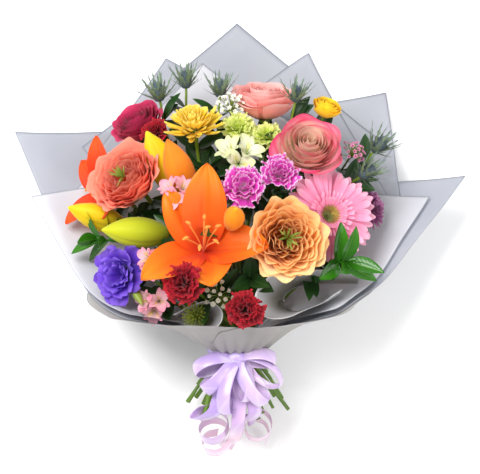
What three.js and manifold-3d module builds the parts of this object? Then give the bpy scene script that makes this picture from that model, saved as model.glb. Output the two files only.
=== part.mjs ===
// A hand-tied garden rose bouquet in a film wrap, lying on its back. Millimetres, +Z up.
// It is laid out from the tie: x to the right, y towards the far tip of the wrap, z up from the table,
// with the tie above x = y = 0. The last lines move it so that the origin is the middle of its footprint.
// Every cut flower is one solid from its cut end to its bloom, and the stems cross at the tie as in a
// spiral hand-tie: each keeps its own place there and turns about the bouquet's axis on the way up and down.
import * as THREE from "three";
import { mergeVertices } from "three/addons/utils/BufferGeometryUtils.js";
import Module from "manifold-3d";

const wasm = await Module();
wasm.setup();

// Driving dimensions.
const GAP = 0.35; // clearance kept between any two pieces
const TIE_HEIGHT = 82; // the tie above the table
const AXIS_RISE = THREE.MathUtils.degToRad(28); // the bouquet's axis above the table
const STEM_BELOW_TIE = 82; // longest cut stem below the tie
const SPIRAL_ABOVE = 0.048; // turn of the stems per millimetre above the tie
const SPIRAL_BELOW = 0.044; // and below it
const FOOT_SQUASH = 0.74; // how far the table flattens the fan of cut ends
const BUNDLE_RADIUS = 18; // the stems at the tie
const FILM = 0.4; // thickness of a film sheet
const LAYER = 0.85; // from one sheet to the next
const NECK_RADIUS = 21.5; // inside the innermost sheet at the tie
const NECK_BELOW = 16; // how far the wrap reaches below the tie
const FLARE = 20; // length over which the neck opens into the cone
const BELLY = 12; // how far the collars bulge over the bow
const SETTLE = 4; // how gently a sheet comes down onto the table
const ANGLE_STEP = 10; // degrees from one fold line of a sheet to the next
const RINGS = [-NECK_BELOW, 0, 14, 36, 90, 170, 240, 310, 400]; // steps along a fold line
const RIBBON = 0.7; // thickness of the ribbon
const RIBBON_WIDTH = 15;

// Axes of the bouquet: right, towards the front collar, and from the tie into the flowers.
const RIGHT = new THREE.Vector3(1, 0, 0);
const FRONT = new THREE.Vector3(0, -Math.sin(AXIS_RISE), Math.cos(AXIS_RISE));
const AXIS = new THREE.Vector3(0, Math.cos(AXIS_RISE), Math.sin(AXIS_RISE));
const TIE = new THREE.Vector3(0, 0, TIE_HEIGHT);

// A point given by its distances from the tie to the right, to the front and along the axis.
function fromTie(right, front, along) {
  return TIE.clone()
    .addScaledVector(RIGHT, right)
    .addScaledVector(FRONT, front)
    .addScaledVector(AXIS, along);
}

// A closed geometry as a manifold-3d solid with its faces pointing out.
function solidOf(geometry, matrix = new THREE.Matrix4()) {
  const bare = geometry.index ? geometry.toNonIndexed() : geometry.clone();
  for (const name of Object.keys(bare.attributes)) {
    if (name !== "position") bare.deleteAttribute(name);
  }
  bare.applyMatrix4(matrix);
  const merged = mergeVertices(bare, 1e-3);
  const triVerts = new Uint32Array(merged.index.array);
  const vertProperties = merged.attributes.position.array;
  const made = new wasm.Manifold(new wasm.Mesh({ numProp: 3, vertProperties, triVerts }));
  if (made.volume() > 0) return made;
  for (let i = 0; i < triVerts.length; i += 3) {
    [triVerts[i + 1], triVerts[i + 2]] = [triVerts[i + 2], triVerts[i + 1]];
  }
  return new wasm.Manifold(new wasm.Mesh({ numProp: 3, vertProperties, triVerts }));
}

function geometryOf(solid) {
  const mesh = solid.getMesh();
  const position = new Float32Array(mesh.numVert * 3);
  for (let i = 0; i < mesh.numVert; i++) {
    position.set(mesh.vertProperties.subarray(i * mesh.numProp, i * mesh.numProp + 3), i * 3);
  }
  const geometry = new THREE.BufferGeometry();
  geometry.setAttribute("position", new THREE.BufferAttribute(position, 3));
  geometry.setIndex(new THREE.BufferAttribute(mesh.triVerts, 1));
  geometry.computeVertexNormals();
  return geometry;
}

function union(solids) {
  return solids.reduce((joined, next) => joined.add(next));
}

// The frame of a bloom: +Z along its facing, at a point.
function frameAt(at, facing) {
  const turn = new THREE.Quaternion().setFromUnitVectors(
    new THREE.Vector3(0, 0, 1),
    facing.clone().normalize(),
  );
  return new THREE.Matrix4().compose(at, turn, new THREE.Vector3(1, 1, 1));
}

// A turned solid about +Z from [radius, height] pairs, from its lowest point on the axis to its highest.
function turned(profile, { segments = 12, grow = 0 } = {}) {
  const points = profile.map(([radius, height], i) => {
    const [r0, z0] = profile[Math.max(i - 1, 0)];
    const [r1, z1] = profile[Math.min(i + 1, profile.length - 1)];
    const away = new THREE.Vector2(z1 - z0, r0 - r1).setLength(grow);
    return new THREE.Vector2(radius > 0 ? radius + away.x : 0, height + away.y);
  });
  return new THREE.LatheGeometry(points, segments).rotateX(Math.PI / 2);
}

// A flattened spindle from the origin along +Z: a leaf, a tepal, a bract or a bud.
function blade(length, width, thickness, grow = 0, segments = 4) {
  const profile = [0, 0.5, 0.4, 0].map((half, i) => [half, (length * i) / 3]);
  const geometry = turned(profile, { segments });
  geometry.scale(width + 2 * grow, thickness + 2 * grow, 1);
  return geometry;
}

function tube(points, radius, { sides = 5, steps = 6 } = {}) {
  const section = new THREE.Shape(
    Array.from({ length: sides }, (_, i) => {
      const angle = (2 * Math.PI * i) / sides;
      return new THREE.Vector2(radius * Math.cos(angle), radius * Math.sin(angle));
    }),
  );
  const extrudePath = new THREE.CatmullRomCurve3(points);
  return new THREE.ExtrudeGeometry(section, { steps, extrudePath, bevelEnabled: false });
}

// ---------------------------------------------------------------------------------------------------
// Blooms. Each function gives one bloom at the origin that faces +Z, `grow` millimetres larger all over,
// and `neck` says how far below the origin its stem joins it.

function scaled(profile, r, options) {
  return solidOf(turned(profile.map(([x, z]) => [x * r, z * r]), options));
}

// A lily's tepals: degrees round the throat, degrees they lean out, length and width in tip radii.
const LILY_TEPALS = [
  [86, 52, 1.24, 0.52], [129, 58, 1, 0.5], [218, 70, 1.12, 0.46], [280, 66, 0.8, 0.62],
  [351, 68, 1, 0.52], [42, 84, 0.72, 0.4],
];

const BLOOMS = {
  rose: {
    neck: 0.6,
    make: (r, grow) =>
      scaled(
        [[0, -0.66], [0.42, -0.55], [0.86, -0.2], [1, 0.14], [0.88, 0.36], [0.5, 0.3], [0, 0.26]],
        r,
        { segments: 12, grow },
      ),
  },
  carnation: {
    neck: 1.1,
    make: (r, grow) =>
      scaled(
        [[0, -1.2], [0.24, -1.1], [0.28, -0.5], [0.92, -0.12], [1, 0.12], [0.66, 0.42], [0, 0.5]],
        r,
        { segments: 10, grow },
      ),
  },
  mum: {
    neck: 0.42,
    make: (r, grow) =>
      scaled(
        [[0, -0.48], [0.22, -0.44], [0.88, -0.16], [1, 0.04], [0.76, 0.28], [0, 0.36]],
        r,
        { segments: 12, grow },
      ),
  },
  gerbera: {
    neck: 0.2,
    make: (r, grow) =>
      scaled(
        [[0, -0.25], [0.14, -0.22], [0.4, -0.08], [1, -0.02], [1, 0.05], [0.42, 0.08], [0, 0.1]],
        r,
        { segments: 16, grow },
      ),
  },
  lisianthus: {
    neck: 0.85,
    make: (r, grow) =>
      scaled(
        [[0, -0.95], [0.3, -0.8], [0.72, -0.3], [1, 0.2], [0.82, 0.42], [0.4, 0.3], [0, 0.28]],
        r,
        { segments: 10, grow },
      ),
  },
  // Six tepals that spread from a throat.
  lily: {
    neck: 0.1,
    make: (r, grow) => {
      const tepals = LILY_TEPALS.map(([around, lean, length, width]) => {
        const flat = new THREE.Matrix4().makeRotationZ(Math.PI / 2);
        const lie = new THREE.Matrix4().makeRotationY(THREE.MathUtils.degToRad(lean));
        const turn = new THREE.Matrix4().makeRotationZ(THREE.MathUtils.degToRad(around));
        const tepal = blade(r * length, r * width, 3.4, grow);
        return solidOf(tepal, turn.multiply(lie).multiply(flat));
      });
      const throat = [[0, -0.14], [0.09, -0.1], [0.16, 0.1], [0, 0.16]];
      return union([...tepals, scaled(throat, r, { segments: 8, grow })]);
    },
  },
  bud: {
    neck: 0.95,
    make: (r, grow) =>
      scaled(
        [[0, -1.02], [0.2, -0.95], [0.44, -0.35], [0.46, 0.1], [0.3, 0.7], [0.08, 1.02], [0, 1.05]],
        r,
        { segments: 8, grow },
      ),
  },
  // Three trumpet florets on short stalks that meet below.
  cluster: {
    neck: 1.15,
    make: (r, grow) => {
      const floret = [[0, -0.6], [0.34, -0.1], [0.6, 0.22], [0.5, 0.3], [0, 0.1]];
      const root = new THREE.Vector3(0, 0, -1.2 * r);
      const florets = Array.from({ length: 3 }, (_, i) => {
        const angle = (2 * Math.PI * i) / 3 + 0.5;
        const centre = new THREE.Vector3(Math.cos(angle), Math.sin(angle), 0).multiplyScalar(0.5 * r);
        const facing = centre.clone().setZ(0.9 * r);
        const place = frameAt(centre, facing);
        const foot = centre.clone().addScaledVector(facing.normalize(), -0.5 * r);
        const stalk = solidOf(tube([root, foot], 1.1 + grow, { sides: 5, steps: 1 }));
        const bell = turned(
          floret.map(([x, z]) => [x * r, z * r]),
          { segments: 6, grow },
        );
        return solidOf(bell, place).add(stalk);
      });
      return union(florets);
    },
  },
  // A thimble of small flowers on a collar of stiff spiny bracts.
  thistle: {
    neck: 0.3,
    make: (r, grow) => {
      const thimble = scaled(
        [[0, -0.36], [0.28, -0.28], [0.42, 0.1], [0.34, 0.52], [0, 0.74]],
        r,
        { segments: 7, grow },
      );
      const bracts = Array.from({ length: 6 }, (_, i) => {
        const lie = new THREE.Matrix4().makeRotationX(-THREE.MathUtils.degToRad(i % 2 ? 42 : 55));
        const turn = new THREE.Matrix4().makeRotationZ((i * Math.PI) / 3);
        const down = new THREE.Matrix4().makeTranslation(0, 0, -0.26 * r);
        return solidOf(blade(1.25 * r, 0.26 * r, 1.8, grow), down.multiply(turn).multiply(lie));
      });
      return union([thimble, ...bracts]);
    },
  },
  // A loose spray of small round flowers on branching stalks.
  spray: {
    neck: 1.0,
    make: (r, grow) => {
      const root = new THREE.Vector3(0, 0, -1.05 * r);
      const tips = Array.from({ length: 5 }, (_, i) => {
        const angle = i * 2.4;
        const reach = 0.36 * r * Math.sqrt(i);
        return new THREE.Vector3(reach * Math.cos(angle), reach * Math.sin(angle), (0.35 - 0.07 * i) * r);
      });
      return union(
        tips.flatMap((tip) => {
          const ball = new THREE.OctahedronGeometry(0.26 * r + grow);
          const place = new THREE.Matrix4().makeTranslation(tip);
          const stalk = tube([root, tip], 0.8 + grow, { sides: 4, steps: 1 });
          return [solidOf(ball, place), solidOf(stalk)];
        }),
      );
    },
  },
  // A leafy tip: leaves spread round a short twig.
  foliage: {
    neck: 0.45,
    make: (r, grow) => {
      const twig = tube(
        [new THREE.Vector3(0, 0, -0.5 * r), new THREE.Vector3(0, 0, 0.5 * r)],
        1.2 + grow,
        { sides: 5, steps: 1 },
      );
      const leaves = Array.from({ length: 6 }, (_, i) => {
        const spread = THREE.MathUtils.degToRad(72 - 8 * i);
        const lie = new THREE.Matrix4().makeRotationX(-spread);
        const turn = new THREE.Matrix4().makeRotationZ(i * 2.1);
        const up = new THREE.Matrix4().makeTranslation(0, 0, (0.08 * i - 0.3) * r);
        return solidOf(blade(0.95 * r, 0.34 * r, 1.6, grow), up.multiply(turn).multiply(lie));
      });
      return union([solidOf(twig), ...leaves]);
    },
  },
};

// ---------------------------------------------------------------------------------------------------
// The cut flowers, largest and foremost first. at: centre of the bloom from the tie's foot on the table;
// face: where it looks; r: its radius, or half a bud's length; stem: stem radius; cut: share of the
// longest stem length left below the tie.
const FLOWERS = [
  { name: "peach_garden_rose", kind: "rose", at: [54, 95, 185], face: [0.15, -0.1, 1],
    r: 43, stem: 2.8, colour: 0xf2b173 },
  { name: "coral_garden_rose", kind: "rose", at: [-123, 170, 140], face: [-0.45, 0.3, 0.85],
    r: 42, stem: 2.8, colour: 0xef8a68 },
  { name: "pink_white_rose", kind: "rose", at: [80, 203, 155], face: [0.1, 0.4, 0.9],
    r: 39, stem: 2.7, colour: 0xdf5c86 },
  { name: "pale_pink_rose", kind: "rose", at: [32, 268, 108], face: [0.05, 0.85, 0.5],
    r: 38, stem: 2.7, colour: 0xf0a3a0 },
  { name: "crimson_rose", kind: "rose", at: [-112, 242, 100], face: [-0.4, 0.6, 0.65],
    r: 32, stem: 2.5, colour: 0xb3214d },
  { name: "orange_lily", kind: "lily", at: [-36, 84, 160], face: [-0.02, 0.32, 0.95],
    r: 78, stem: 3, colour: 0xf27a24 },
  { name: "pink_gerbera", kind: "gerbera", at: [101, 126, 152], face: [0.3, 0.08, 0.95],
    r: 54, stem: 2.6, colour: 0xee8fb0 },
  { name: "yellow_chrysanthemum", kind: "mum", at: [-47, 229, 148], face: [-0.1, 0.7, 0.7],
    r: 34, stem: 2.3, colour: 0xf3c53a },
  { name: "purple_lisianthus", kind: "lisianthus", at: [-128, 63, 137], face: [-0.5, -0.15, 0.85],
    r: 30, stem: 1.8, colour: 0x6a45c9 },
  { name: "magenta_carnation_left", kind: "carnation", at: [7, 151, 188], face: [0, 0.25, 0.97],
    r: 25, stem: 1.8, colour: 0xd95bc4 },
  { name: "magenta_carnation_right", kind: "carnation", at: [47, 168, 180], face: [0.1, 0.35, 0.93],
    r: 22, stem: 1.8, colour: 0xd95bc4, cut: 0.8 },
  { name: "red_carnation_left", kind: "carnation", at: [-58, 44, 200], face: [-0.3, 0.02, 0.95],
    r: 23, stem: 1.8, colour: 0xc8232f },
  { name: "red_carnation_front", kind: "carnation", at: [9, 17, 187], face: [0.06, -0.15, 1],
    r: 21, stem: 1.8, colour: 0xb81f38, cut: 0.85 },
  { name: "lime_carnation_left", kind: "carnation", at: [1, 231, 130], face: [0, 0.55, 0.83],
    r: 20, stem: 1.7, colour: 0xcfe05a, cut: 0.7 },
  { name: "lime_carnation_right", kind: "carnation", at: [33, 221, 128], face: [0.05, 0.5, 0.86],
    r: 19, stem: 1.7, colour: 0xcfe05a, cut: 0.75 },
  { name: "crimson_carnation", kind: "carnation", at: [-91, 225, 132], face: [-0.3, 0.4, 0.86],
    r: 16, stem: 1.6, colour: 0xb01c3c, cut: 0.6 },
  { name: "orange_lily_bud", kind: "bud", at: [-64, 176, 163], face: [-0.3, 0.72, 0.62],
    r: 36, stem: 2.1, colour: 0xf28a28 },
  { name: "yellow_lily_bud_far", kind: "bud", at: [-83, 189, 132], face: [-0.42, 0.8, 0.42],
    r: 38, stem: 2.1, colour: 0xf6d62f, cut: 0.8 },
  { name: "yellow_lily_bud_left", kind: "bud", at: [-110, 108, 150], face: [-0.95, 0, 0.3],
    r: 37, stem: 2.1, colour: 0xd9d331 },
  { name: "yellow_lily_bud_low", kind: "bud", at: [-156, 133, 108], face: [-0.92, 0.25, 0.3],
    r: 33, stem: 2, colour: 0xf2c62b, cut: 0.7 },
  { name: "amber_lily_bud", kind: "bud", at: [-3, 115, 196], face: [0.1, 0.2, 0.97],
    r: 25, stem: 1.7, colour: 0xf3a72e, cut: 0.8 },
  { name: "scarlet_lily", kind: "lily", at: [-138, 160, 92], face: [-0.62, 0.28, 0.73],
    r: 56, stem: 2.6, colour: 0xf04a1c },
  { name: "yellow_ranunculus", kind: "rose", at: [101, 255, 122], face: [0.3, 0.7, 0.6],
    r: 19, stem: 1.6, colour: 0xf6c915, cut: 0.7 },
  { name: "purple_chrysanthemum", kind: "mum", at: [149, 144, 106], face: [0.75, 0.2, 0.6],
    r: 25, stem: 1.9, colour: 0x8a4a78 },
  { name: "white_alstroemeria", kind: "cluster", at: [2, 192, 166], face: [0, 0.3, 0.95],
    r: 26, stem: 2, colour: 0xeef0c8 },
  { name: "pink_alstroemeria_far", kind: "cluster", at: [-66, 148, 181], face: [-0.2, 0.3, 0.93],
    r: 20, stem: 1.8, colour: 0xf2a9bd, cut: 0.8 },
  { name: "pink_alstroemeria_near", kind: "cluster", at: [-91, 72, 174], face: [-0.35, 0, 0.93],
    r: 19, stem: 1.8, colour: 0xf2a9bd, cut: 0.9 },
  { name: "pink_alstroemeria_low", kind: "cluster", at: [-92, 28, 146], face: [-0.35, -0.3, 0.88],
    r: 20, stem: 1.8, colour: 0xf2a9bd, cut: 0.6 },
  { name: "sea_holly_far_left", kind: "thistle", at: [-88, 271, 116], face: [-0.2, 0.9, 0.35],
    r: 26, stem: 1.5, colour: 0x7f8aa0, cut: 0.9 },
  { name: "sea_holly_far_middle", kind: "thistle", at: [-58, 290, 98], face: [-0.05, 0.95, 0.3],
    r: 24, stem: 1.5, colour: 0x7f8aa0, cut: 0.7 },
  { name: "sea_holly_far_right", kind: "thistle", at: [-19, 276, 112], face: [0.05, 0.93, 0.35],
    r: 24, stem: 1.5, colour: 0x7f8aa0, cut: 0.8 },
  { name: "sea_holly_middle", kind: "thistle", at: [66, 262, 143], face: [0.2, 0.85, 0.5],
    r: 22, stem: 1.5, colour: 0x6f7d99, cut: 0.6 },
  { name: "sea_holly_right", kind: "thistle", at: [158, 213, 104], face: [0.6, 0.7, 0.4],
    r: 25, stem: 1.5, colour: 0x6f7d99, cut: 0.9 },
  { name: "sea_holly_near_right", kind: "thistle", at: [142, 177, 132], face: [0.7, 0.45, 0.55],
    r: 24, stem: 1.5, colour: 0x6f7d99, cut: 0.7 },
  { name: "white_waxflower", kind: "spray", at: [-6, 258, 130], face: [0, 0.65, 0.76],
    r: 19, stem: 1.3, colour: 0xf6f4ea, cut: 0.6 },
  { name: "pink_waxflower", kind: "spray", at: [131, 204, 128], face: [0.4, 0.5, 0.76],
    r: 16, stem: 1.3, colour: 0xdf8fb5, cut: 0.6 },
  { name: "gypsophila", kind: "spray", at: [-20, 36, 168], face: [-0.1, -0.1, 0.98],
    r: 17, stem: 1.2, colour: 0xf3f2e2, cut: 0.5 },
  { name: "goldenrod", kind: "spray", at: [-46, 14, 160], face: [-0.25, -0.25, 0.93],
    r: 16, stem: 1.3, colour: 0x9a9a35, cut: 0.5 },
  { name: "ruscus_right", kind: "foliage", at: [116, 72, 168], face: [0.55, -0.05, 0.82],
    r: 46, stem: 1.5, colour: 0x3f7f2c, cut: 0.9 },
  { name: "ruscus_left", kind: "foliage", at: [-150, 105, 118], face: [-0.9, 0.05, 0.35],
    r: 40, stem: 1.5, colour: 0x2f6a2a, cut: 0.8 },
  { name: "salal_front", kind: "foliage", at: [14, 56, 150], face: [0.1, -0.1, 0.97],
    r: 34, stem: 1.6, colour: 0x1f4020, cut: 0.7 },
  { name: "salal_far", kind: "foliage", at: [-30, 180, 118], face: [-0.1, 0.6, 0.75],
    r: 38, stem: 1.6, colour: 0x27502a, cut: 0.8 },
];

// Where each stem passes the tie: its bloom is carried back along the spiral, then the stems are eased
// apart until each has room, and drawn together into one round bundle.
function placesAtTie(flowers) {
  const places = flowers.map(({ at }) => {
    const bloom = new THREE.Vector3(...at).sub(TIE);
    const along = Math.max(bloom.dot(AXIS), 30);
    const x = bloom.dot(RIGHT);
    const y = bloom.dot(FRONT);
    const turn = SPIRAL_ABOVE * along;
    const shrink = 1 / (1 + turn * turn);
    return new THREE.Vector2((x + y * turn) * shrink, (y - x * turn) * shrink);
  });
  const rounds = 400;
  for (let round = 0; round < rounds; round++) {
    for (let i = 0; i < places.length; i++) {
      for (let j = 0; j < i; j++) {
        const room = (flowers[i].stem + flowers[j].stem) * 1.16 + GAP;
        const apart = places[i].clone().sub(places[j]);
        const short = room - apart.length();
        if (short <= 0) continue;
        apart.setLength(short / 2);
        places[i].add(apart);
        places[j].sub(apart);
      }
      const reach = BUNDLE_RADIUS - flowers[i].stem;
      if (round < rounds / 2 && places[i].length() > reach) places[i].setLength(reach);
    }
  }
  return places;
}

function stemPath(bloomFoot, facing, place, below) {
  const cross = fromTie(place.x, place.y, 0);
  const turn = SPIRAL_BELOW * below;
  const foot = fromTie(
    place.x + place.y * turn,
    (place.y - place.x * turn) * FOOT_SQUASH,
    -below,
  );
  foot.z = Math.max(foot.z, 5);
  const arrive = bloomFoot.clone().addScaledVector(facing, -0.16 * bloomFoot.distanceTo(cross));
  const halfway = cross.clone().lerp(arrive, 0.5);
  const halfBelow = cross.clone().lerp(foot, 0.5);
  return [foot, halfBelow, cross, halfway, arrive, bloomFoot];
}

function flowerSolid(flower, place, grow) {
  const { kind, r, stem, cut = 1 } = flower;
  const bloom = BLOOMS[kind];
  const at = new THREE.Vector3(...flower.at);
  const facing = new THREE.Vector3(...flower.face).normalize();
  const bloomFoot = at.clone().addScaledVector(facing, -bloom.neck * r);
  const path = stemPath(bloomFoot, facing, place, STEM_BELOW_TIE * cut);
  const head = bloom.make(r, grow).transform(frameAt(at, facing).toArray());
  return head.add(solidOf(tube(path, stem + grow)));
}

// ---------------------------------------------------------------------------------------------------
// The wrap: square film sheets gathered at the tie. Round the axis, 0 degrees is the front collar,
// +90 the right, 180 the back that lies on the table. Each pair is an angle and how far the cone opens.
const OPENING = [
  [-180, 43], [-160, 42], [-140, 48], [-120, 56], [-105, 66], [-90, 75], [-75, 75], [-60, 72],
  [-30, 64], [0, 58], [30, 63], [60, 68], [75, 67.5], [90, 66], [105, 61.5], [120, 56.5], [140, 49],
  [160, 41], [180, 43],
];

// Sheets from the inside out. tip: angle and distance of the square corner; corner: degrees between the
// line to the tie and the edges on its lower-angle and higher-angle sides; from and to: angles it spans.
// A collar has no corner: its rim passes through [angle, distance] pairs.
const SHEETS = [
  { name: "tissue_left", colour: 0xf3f1f2, tip: [-110, 276], corner: [46, 24], from: -170, to: -60 },
  { name: "tissue_right", colour: 0xf3f2f6, tip: [110, 262], corner: [26, 46], from: 60, to: 170 },
  { name: "tissue_back", colour: 0xf3f3f8, tip: [-170, 340], corner: [45, 45], from: -230, to: -110 },
  { name: "film_back_left", colour: 0xcfd1da, tip: [-160, 352], corner: [47, 42], from: -210, to: -130 },
  { name: "film_back_right", colour: 0xcfd1da, tip: [160, 358], corner: [34, 42], from: 110, to: 210 },
  { name: "film_back", colour: 0xc9cdd8, tip: [180, 391], corner: [46, 46], from: 130, to: 230 },
  { name: "film_right_upper", colour: 0xd3d8e4, tip: [140, 347], corner: [31, 44], from: 110, to: 190 },
  { name: "film_left", colour: 0xc6c6cb, tip: [-120, 347], corner: [48, 19], from: -170, to: -60 },
  { name: "film_right", colour: 0xccd0dc, tip: [110, 311], corner: [20, 37], from: 60, to: 160 },
  {
    name: "collar_left",
    colour: 0xc4c2c6,
    rim: [[-130, 110], [-110, 150], [-90, 166], [-70, 146], [-40, 104], [0, 78], [20, 74]],
  },
  {
    name: "collar_right",
    colour: 0xc0c0bf,
    rim: [[-30, 44], [-10, 72], [10, 82], [40, 104], [70, 136], [90, 158], [120, 100]],
  },
];
const LAYERS = SHEETS.length;

// The smooth value at an angle of a curve through [angle, value] keys that closes after a full turn.
function keyed(keys, angle) {
  const turns = keys.length - 1;
  const wrapped = THREE.MathUtils.euclideanModulo(angle + 180, 360) - 180;
  const after = keys.findIndex((key, k) => k > 0 && key[0] >= wrapped);
  const share = (wrapped - keys[after - 1][0]) / (keys[after][0] - keys[after - 1][0]);
  const value = (k) => keys[THREE.MathUtils.euclideanModulo(k, turns)][1];
  const start = (value(after) - value(after - 2)) / 2;
  const end = (value(after + 1) - value(after - 1)) / 2;
  const s = share;
  return (
    (2 * s ** 3 - 3 * s ** 2 + 1) * value(after - 1) +
    (s ** 3 - 2 * s ** 2 + s) * start +
    (3 * s ** 2 - 2 * s ** 3) * value(after) +
    (s ** 3 - s ** 2) * end
  );
}

// How far a layer hangs out in front of the neck. Only the collars, the two outer layers, do so.
function belly(layer, angle, distance) {
  if (layer < LAYERS - 2) return 0;
  const front = 1 - THREE.MathUtils.smoothstep(Math.abs(angle), 45, 90);
  return BELLY * front * Math.sin(Math.PI * Math.sqrt(THREE.MathUtils.clamp(distance / 80, 0, 1)));
}

// A point of the wrap on a layer, counted from the inside, with the direction that points out of it.
function wrapPoint(layer, angle, distance) {
  const opening = THREE.MathUtils.degToRad(keyed(OPENING, angle));
  const up = Math.max(distance, 0);
  const out = up ** 2 / (up + FLARE);
  const slope = (up ** 2 + 2 * up * FLARE) / (up + FLARE) ** 2;
  const rise = new THREE.Vector2(slope * Math.sin(opening), 1 - slope + slope * Math.cos(opening));
  rise.normalize();
  const turn = THREE.MathUtils.degToRad(angle);
  const radial = RIGHT.clone().multiplyScalar(Math.sin(turn)).addScaledVector(FRONT, Math.cos(turn));
  const outward = radial.clone().multiplyScalar(rise.y).addScaledVector(AXIS, -rise.x);
  const point = TIE.clone()
    .addScaledVector(AXIS, distance - out + out * Math.cos(opening))
    .addScaledVector(radial, NECK_RADIUS + out * Math.sin(opening))
    .addScaledVector(outward, layer * LAYER + belly(layer, angle, distance));
  const floor = (LAYERS - layer - 0.5) * LAYER;
  point.z = floor + SETTLE * Math.log1p(Math.exp((point.z - floor) / SETTLE));
  return { point, outward };
}

// How far up from the tie a sheet reaches at an angle.
function sheetReach({ tip, corner, rim }, angle) {
  if (rim) {
    const after = Math.max(rim.findIndex((key) => key[0] >= angle), 1);
    const share = THREE.MathUtils.smoothstep(angle, rim[after - 1][0], rim[after][0]);
    return THREE.MathUtils.lerp(rim[after - 1][1], rim[after][1], share);
  }
  const unrolled = Math.sin(THREE.MathUtils.degToRad(keyed(OPENING, tip[0])));
  const away = THREE.MathUtils.degToRad(Math.abs(angle - tip[0])) * unrolled;
  const edge = THREE.MathUtils.degToRad(angle < tip[0] ? corner[0] : corner[1]);
  return (tip[1] * Math.sin(edge)) / Math.sin(Math.PI - edge - away);
}

// One fold line of a sheet, from the neck to the sheet's edge, as pairs of points on its two skins.
function foldLine(layer, angle, reach, thickness) {
  const pairAt = (distance) => {
    const { point, outward } = wrapPoint(layer, angle, distance);
    return [1, -1].map((side) => point.clone().addScaledVector(outward, (side * thickness) / 2));
  };
  const whole = RINGS.filter((ring) => ring < reach - 1);
  const next = RINGS[whole.length];
  const last = whole[whole.length - 1];
  const beyond = pairAt(next);
  const share = (reach - last) / (next - last);
  return [...whole.map(pairAt), pairAt(last).map((point, skin) => point.lerp(beyond[skin], share))];
}

// A closed thin solid over neighbouring lines of point pairs, which may differ in length.
function skinned(lines) {
  const faces = [];
  const quad = (a, b, c, d) => faces.push(a, b, c, a, c, d);
  for (let i = 0; i + 1 < lines.length; i++) {
    const [left, right] = [lines[i], lines[i + 1]];
    const pick = (line, j, skin) => line[Math.min(j, line.length - 1)][skin];
    for (let j = 0; j + 1 < Math.max(left.length, right.length); j++) {
      quad(pick(left, j, 0), pick(right, j, 0), pick(right, j + 1, 0), pick(left, j + 1, 0));
      quad(pick(left, j, 1), pick(left, j + 1, 1), pick(right, j + 1, 1), pick(right, j, 1));
    }
    quad(left[0][1], right[0][1], right[0][0], left[0][0]);
    quad(left.at(-1)[0], right.at(-1)[0], right.at(-1)[1], left.at(-1)[1]);
  }
  const [first, final] = [lines[0], lines.at(-1)];
  for (let j = 0; j + 1 < first.length; j++) {
    quad(first[j][1], first[j][0], first[j + 1][0], first[j + 1][1]);
  }
  for (let j = 0; j + 1 < final.length; j++) {
    quad(final[j + 1][1], final[j + 1][0], final[j][0], final[j][1]);
  }
  return solidOf(new THREE.BufferGeometry().setFromPoints(faces));
}

function sheetSolid(sheet, layer, grow) {
  const from = sheet.rim ? sheet.rim[0][0] : sheet.from;
  const to = sheet.rim ? sheet.rim.at(-1)[0] : sheet.to;
  const lines = Array.from({ length: (to - from) / ANGLE_STEP + 1 }, (_, i) => {
    const angle = from + i * ANGLE_STEP;
    return foldLine(layer, angle, sheetReach(sheet, angle) + grow, FILM + grow);
  });
  return skinned(lines);
}

// A strip through points, each [x, y, z] from the tie's foot, with its width along `across`, or away
// from an apex as in a paper cone.
function stripSolid({ points, across, apex, width, thickness, steps }) {
  const line = new THREE.CatmullRomCurve3(points.map((p) => new THREE.Vector3(...p)));
  const sides = across ?? points.map(([x, y, z]) => [x - apex[0], y - apex[1], z - apex[2]]);
  const lean = new THREE.CatmullRomCurve3(sides.map((p) => new THREE.Vector3(...p).normalize()));
  const lines = Array.from({ length: steps + 1 }, (_, i) => {
    const centre = line.getPoint(i / steps);
    const side = lean.getPoint(i / steps).setLength(width / 2);
    const out = line.getTangent(i / steps).cross(side).setLength(thickness / 2);
    return [-1, 1].map((end) => {
      const edge = centre.clone().addScaledVector(side, end);
      return [edge.clone().add(out), edge.clone().sub(out)];
    });
  });
  return skinned(lines);
}

// The inner film's edge, rolled into a cornet inside the collar to the right and to the left.
const ROLLS = [
  {
    name: "film_roll_right",
    width: 46,
    points: [
      [134, 60, 138], [98, 60, 139], [66, 58, 140], [46, 50, 141], [36, 36, 140], [42, 24, 139],
      [62, 21, 138], [92, 30, 136], [112, 42, 134],
    ],
    apex: [118, 46, 62],
  },
  {
    name: "film_roll_left",
    width: 34,
    points: [
      [-66, 17, 138], [-50, 24, 141], [-36, 26, 142], [-25, 19, 142], [-28, 9, 140], [-44, 6, 138],
      [-58, 8, 136],
    ],
    apex: [-66, 16, 78],
  },
];

// ---------------------------------------------------------------------------------------------------
// The ribbon: a satin band over the gathered neck, and a bow on its front with tails over the stems.
const BAND_INNER = NECK_RADIUS + LAYERS * LAYER + 3 * GAP;

// The loops of the bow: the direction each leaves the knot in, its length, and the tilt of its width.
const KNOT = new THREE.Vector3(0, -26, 110);
const LOOP_WIDTH = 16;
const LOOPS = [
  { toward: [-1, -0.3, 0], length: 48, tilt: 0.5 },
  { toward: [-0.75, -0.75, 0], length: 50, tilt: -0.3 },
  { toward: [-0.2, -1, 0], length: 62, tilt: 0.4 },
  { toward: [0.2, -1, 0], length: 48, tilt: -0.8 },
  { toward: [0.55, -0.9, 0], length: 58, tilt: 0.5 },
  { toward: [0.9, -0.55, 0], length: 56, tilt: -1 },
  { toward: [1, -0.05, 0.1], length: 42, tilt: -0.5 },
];

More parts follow.
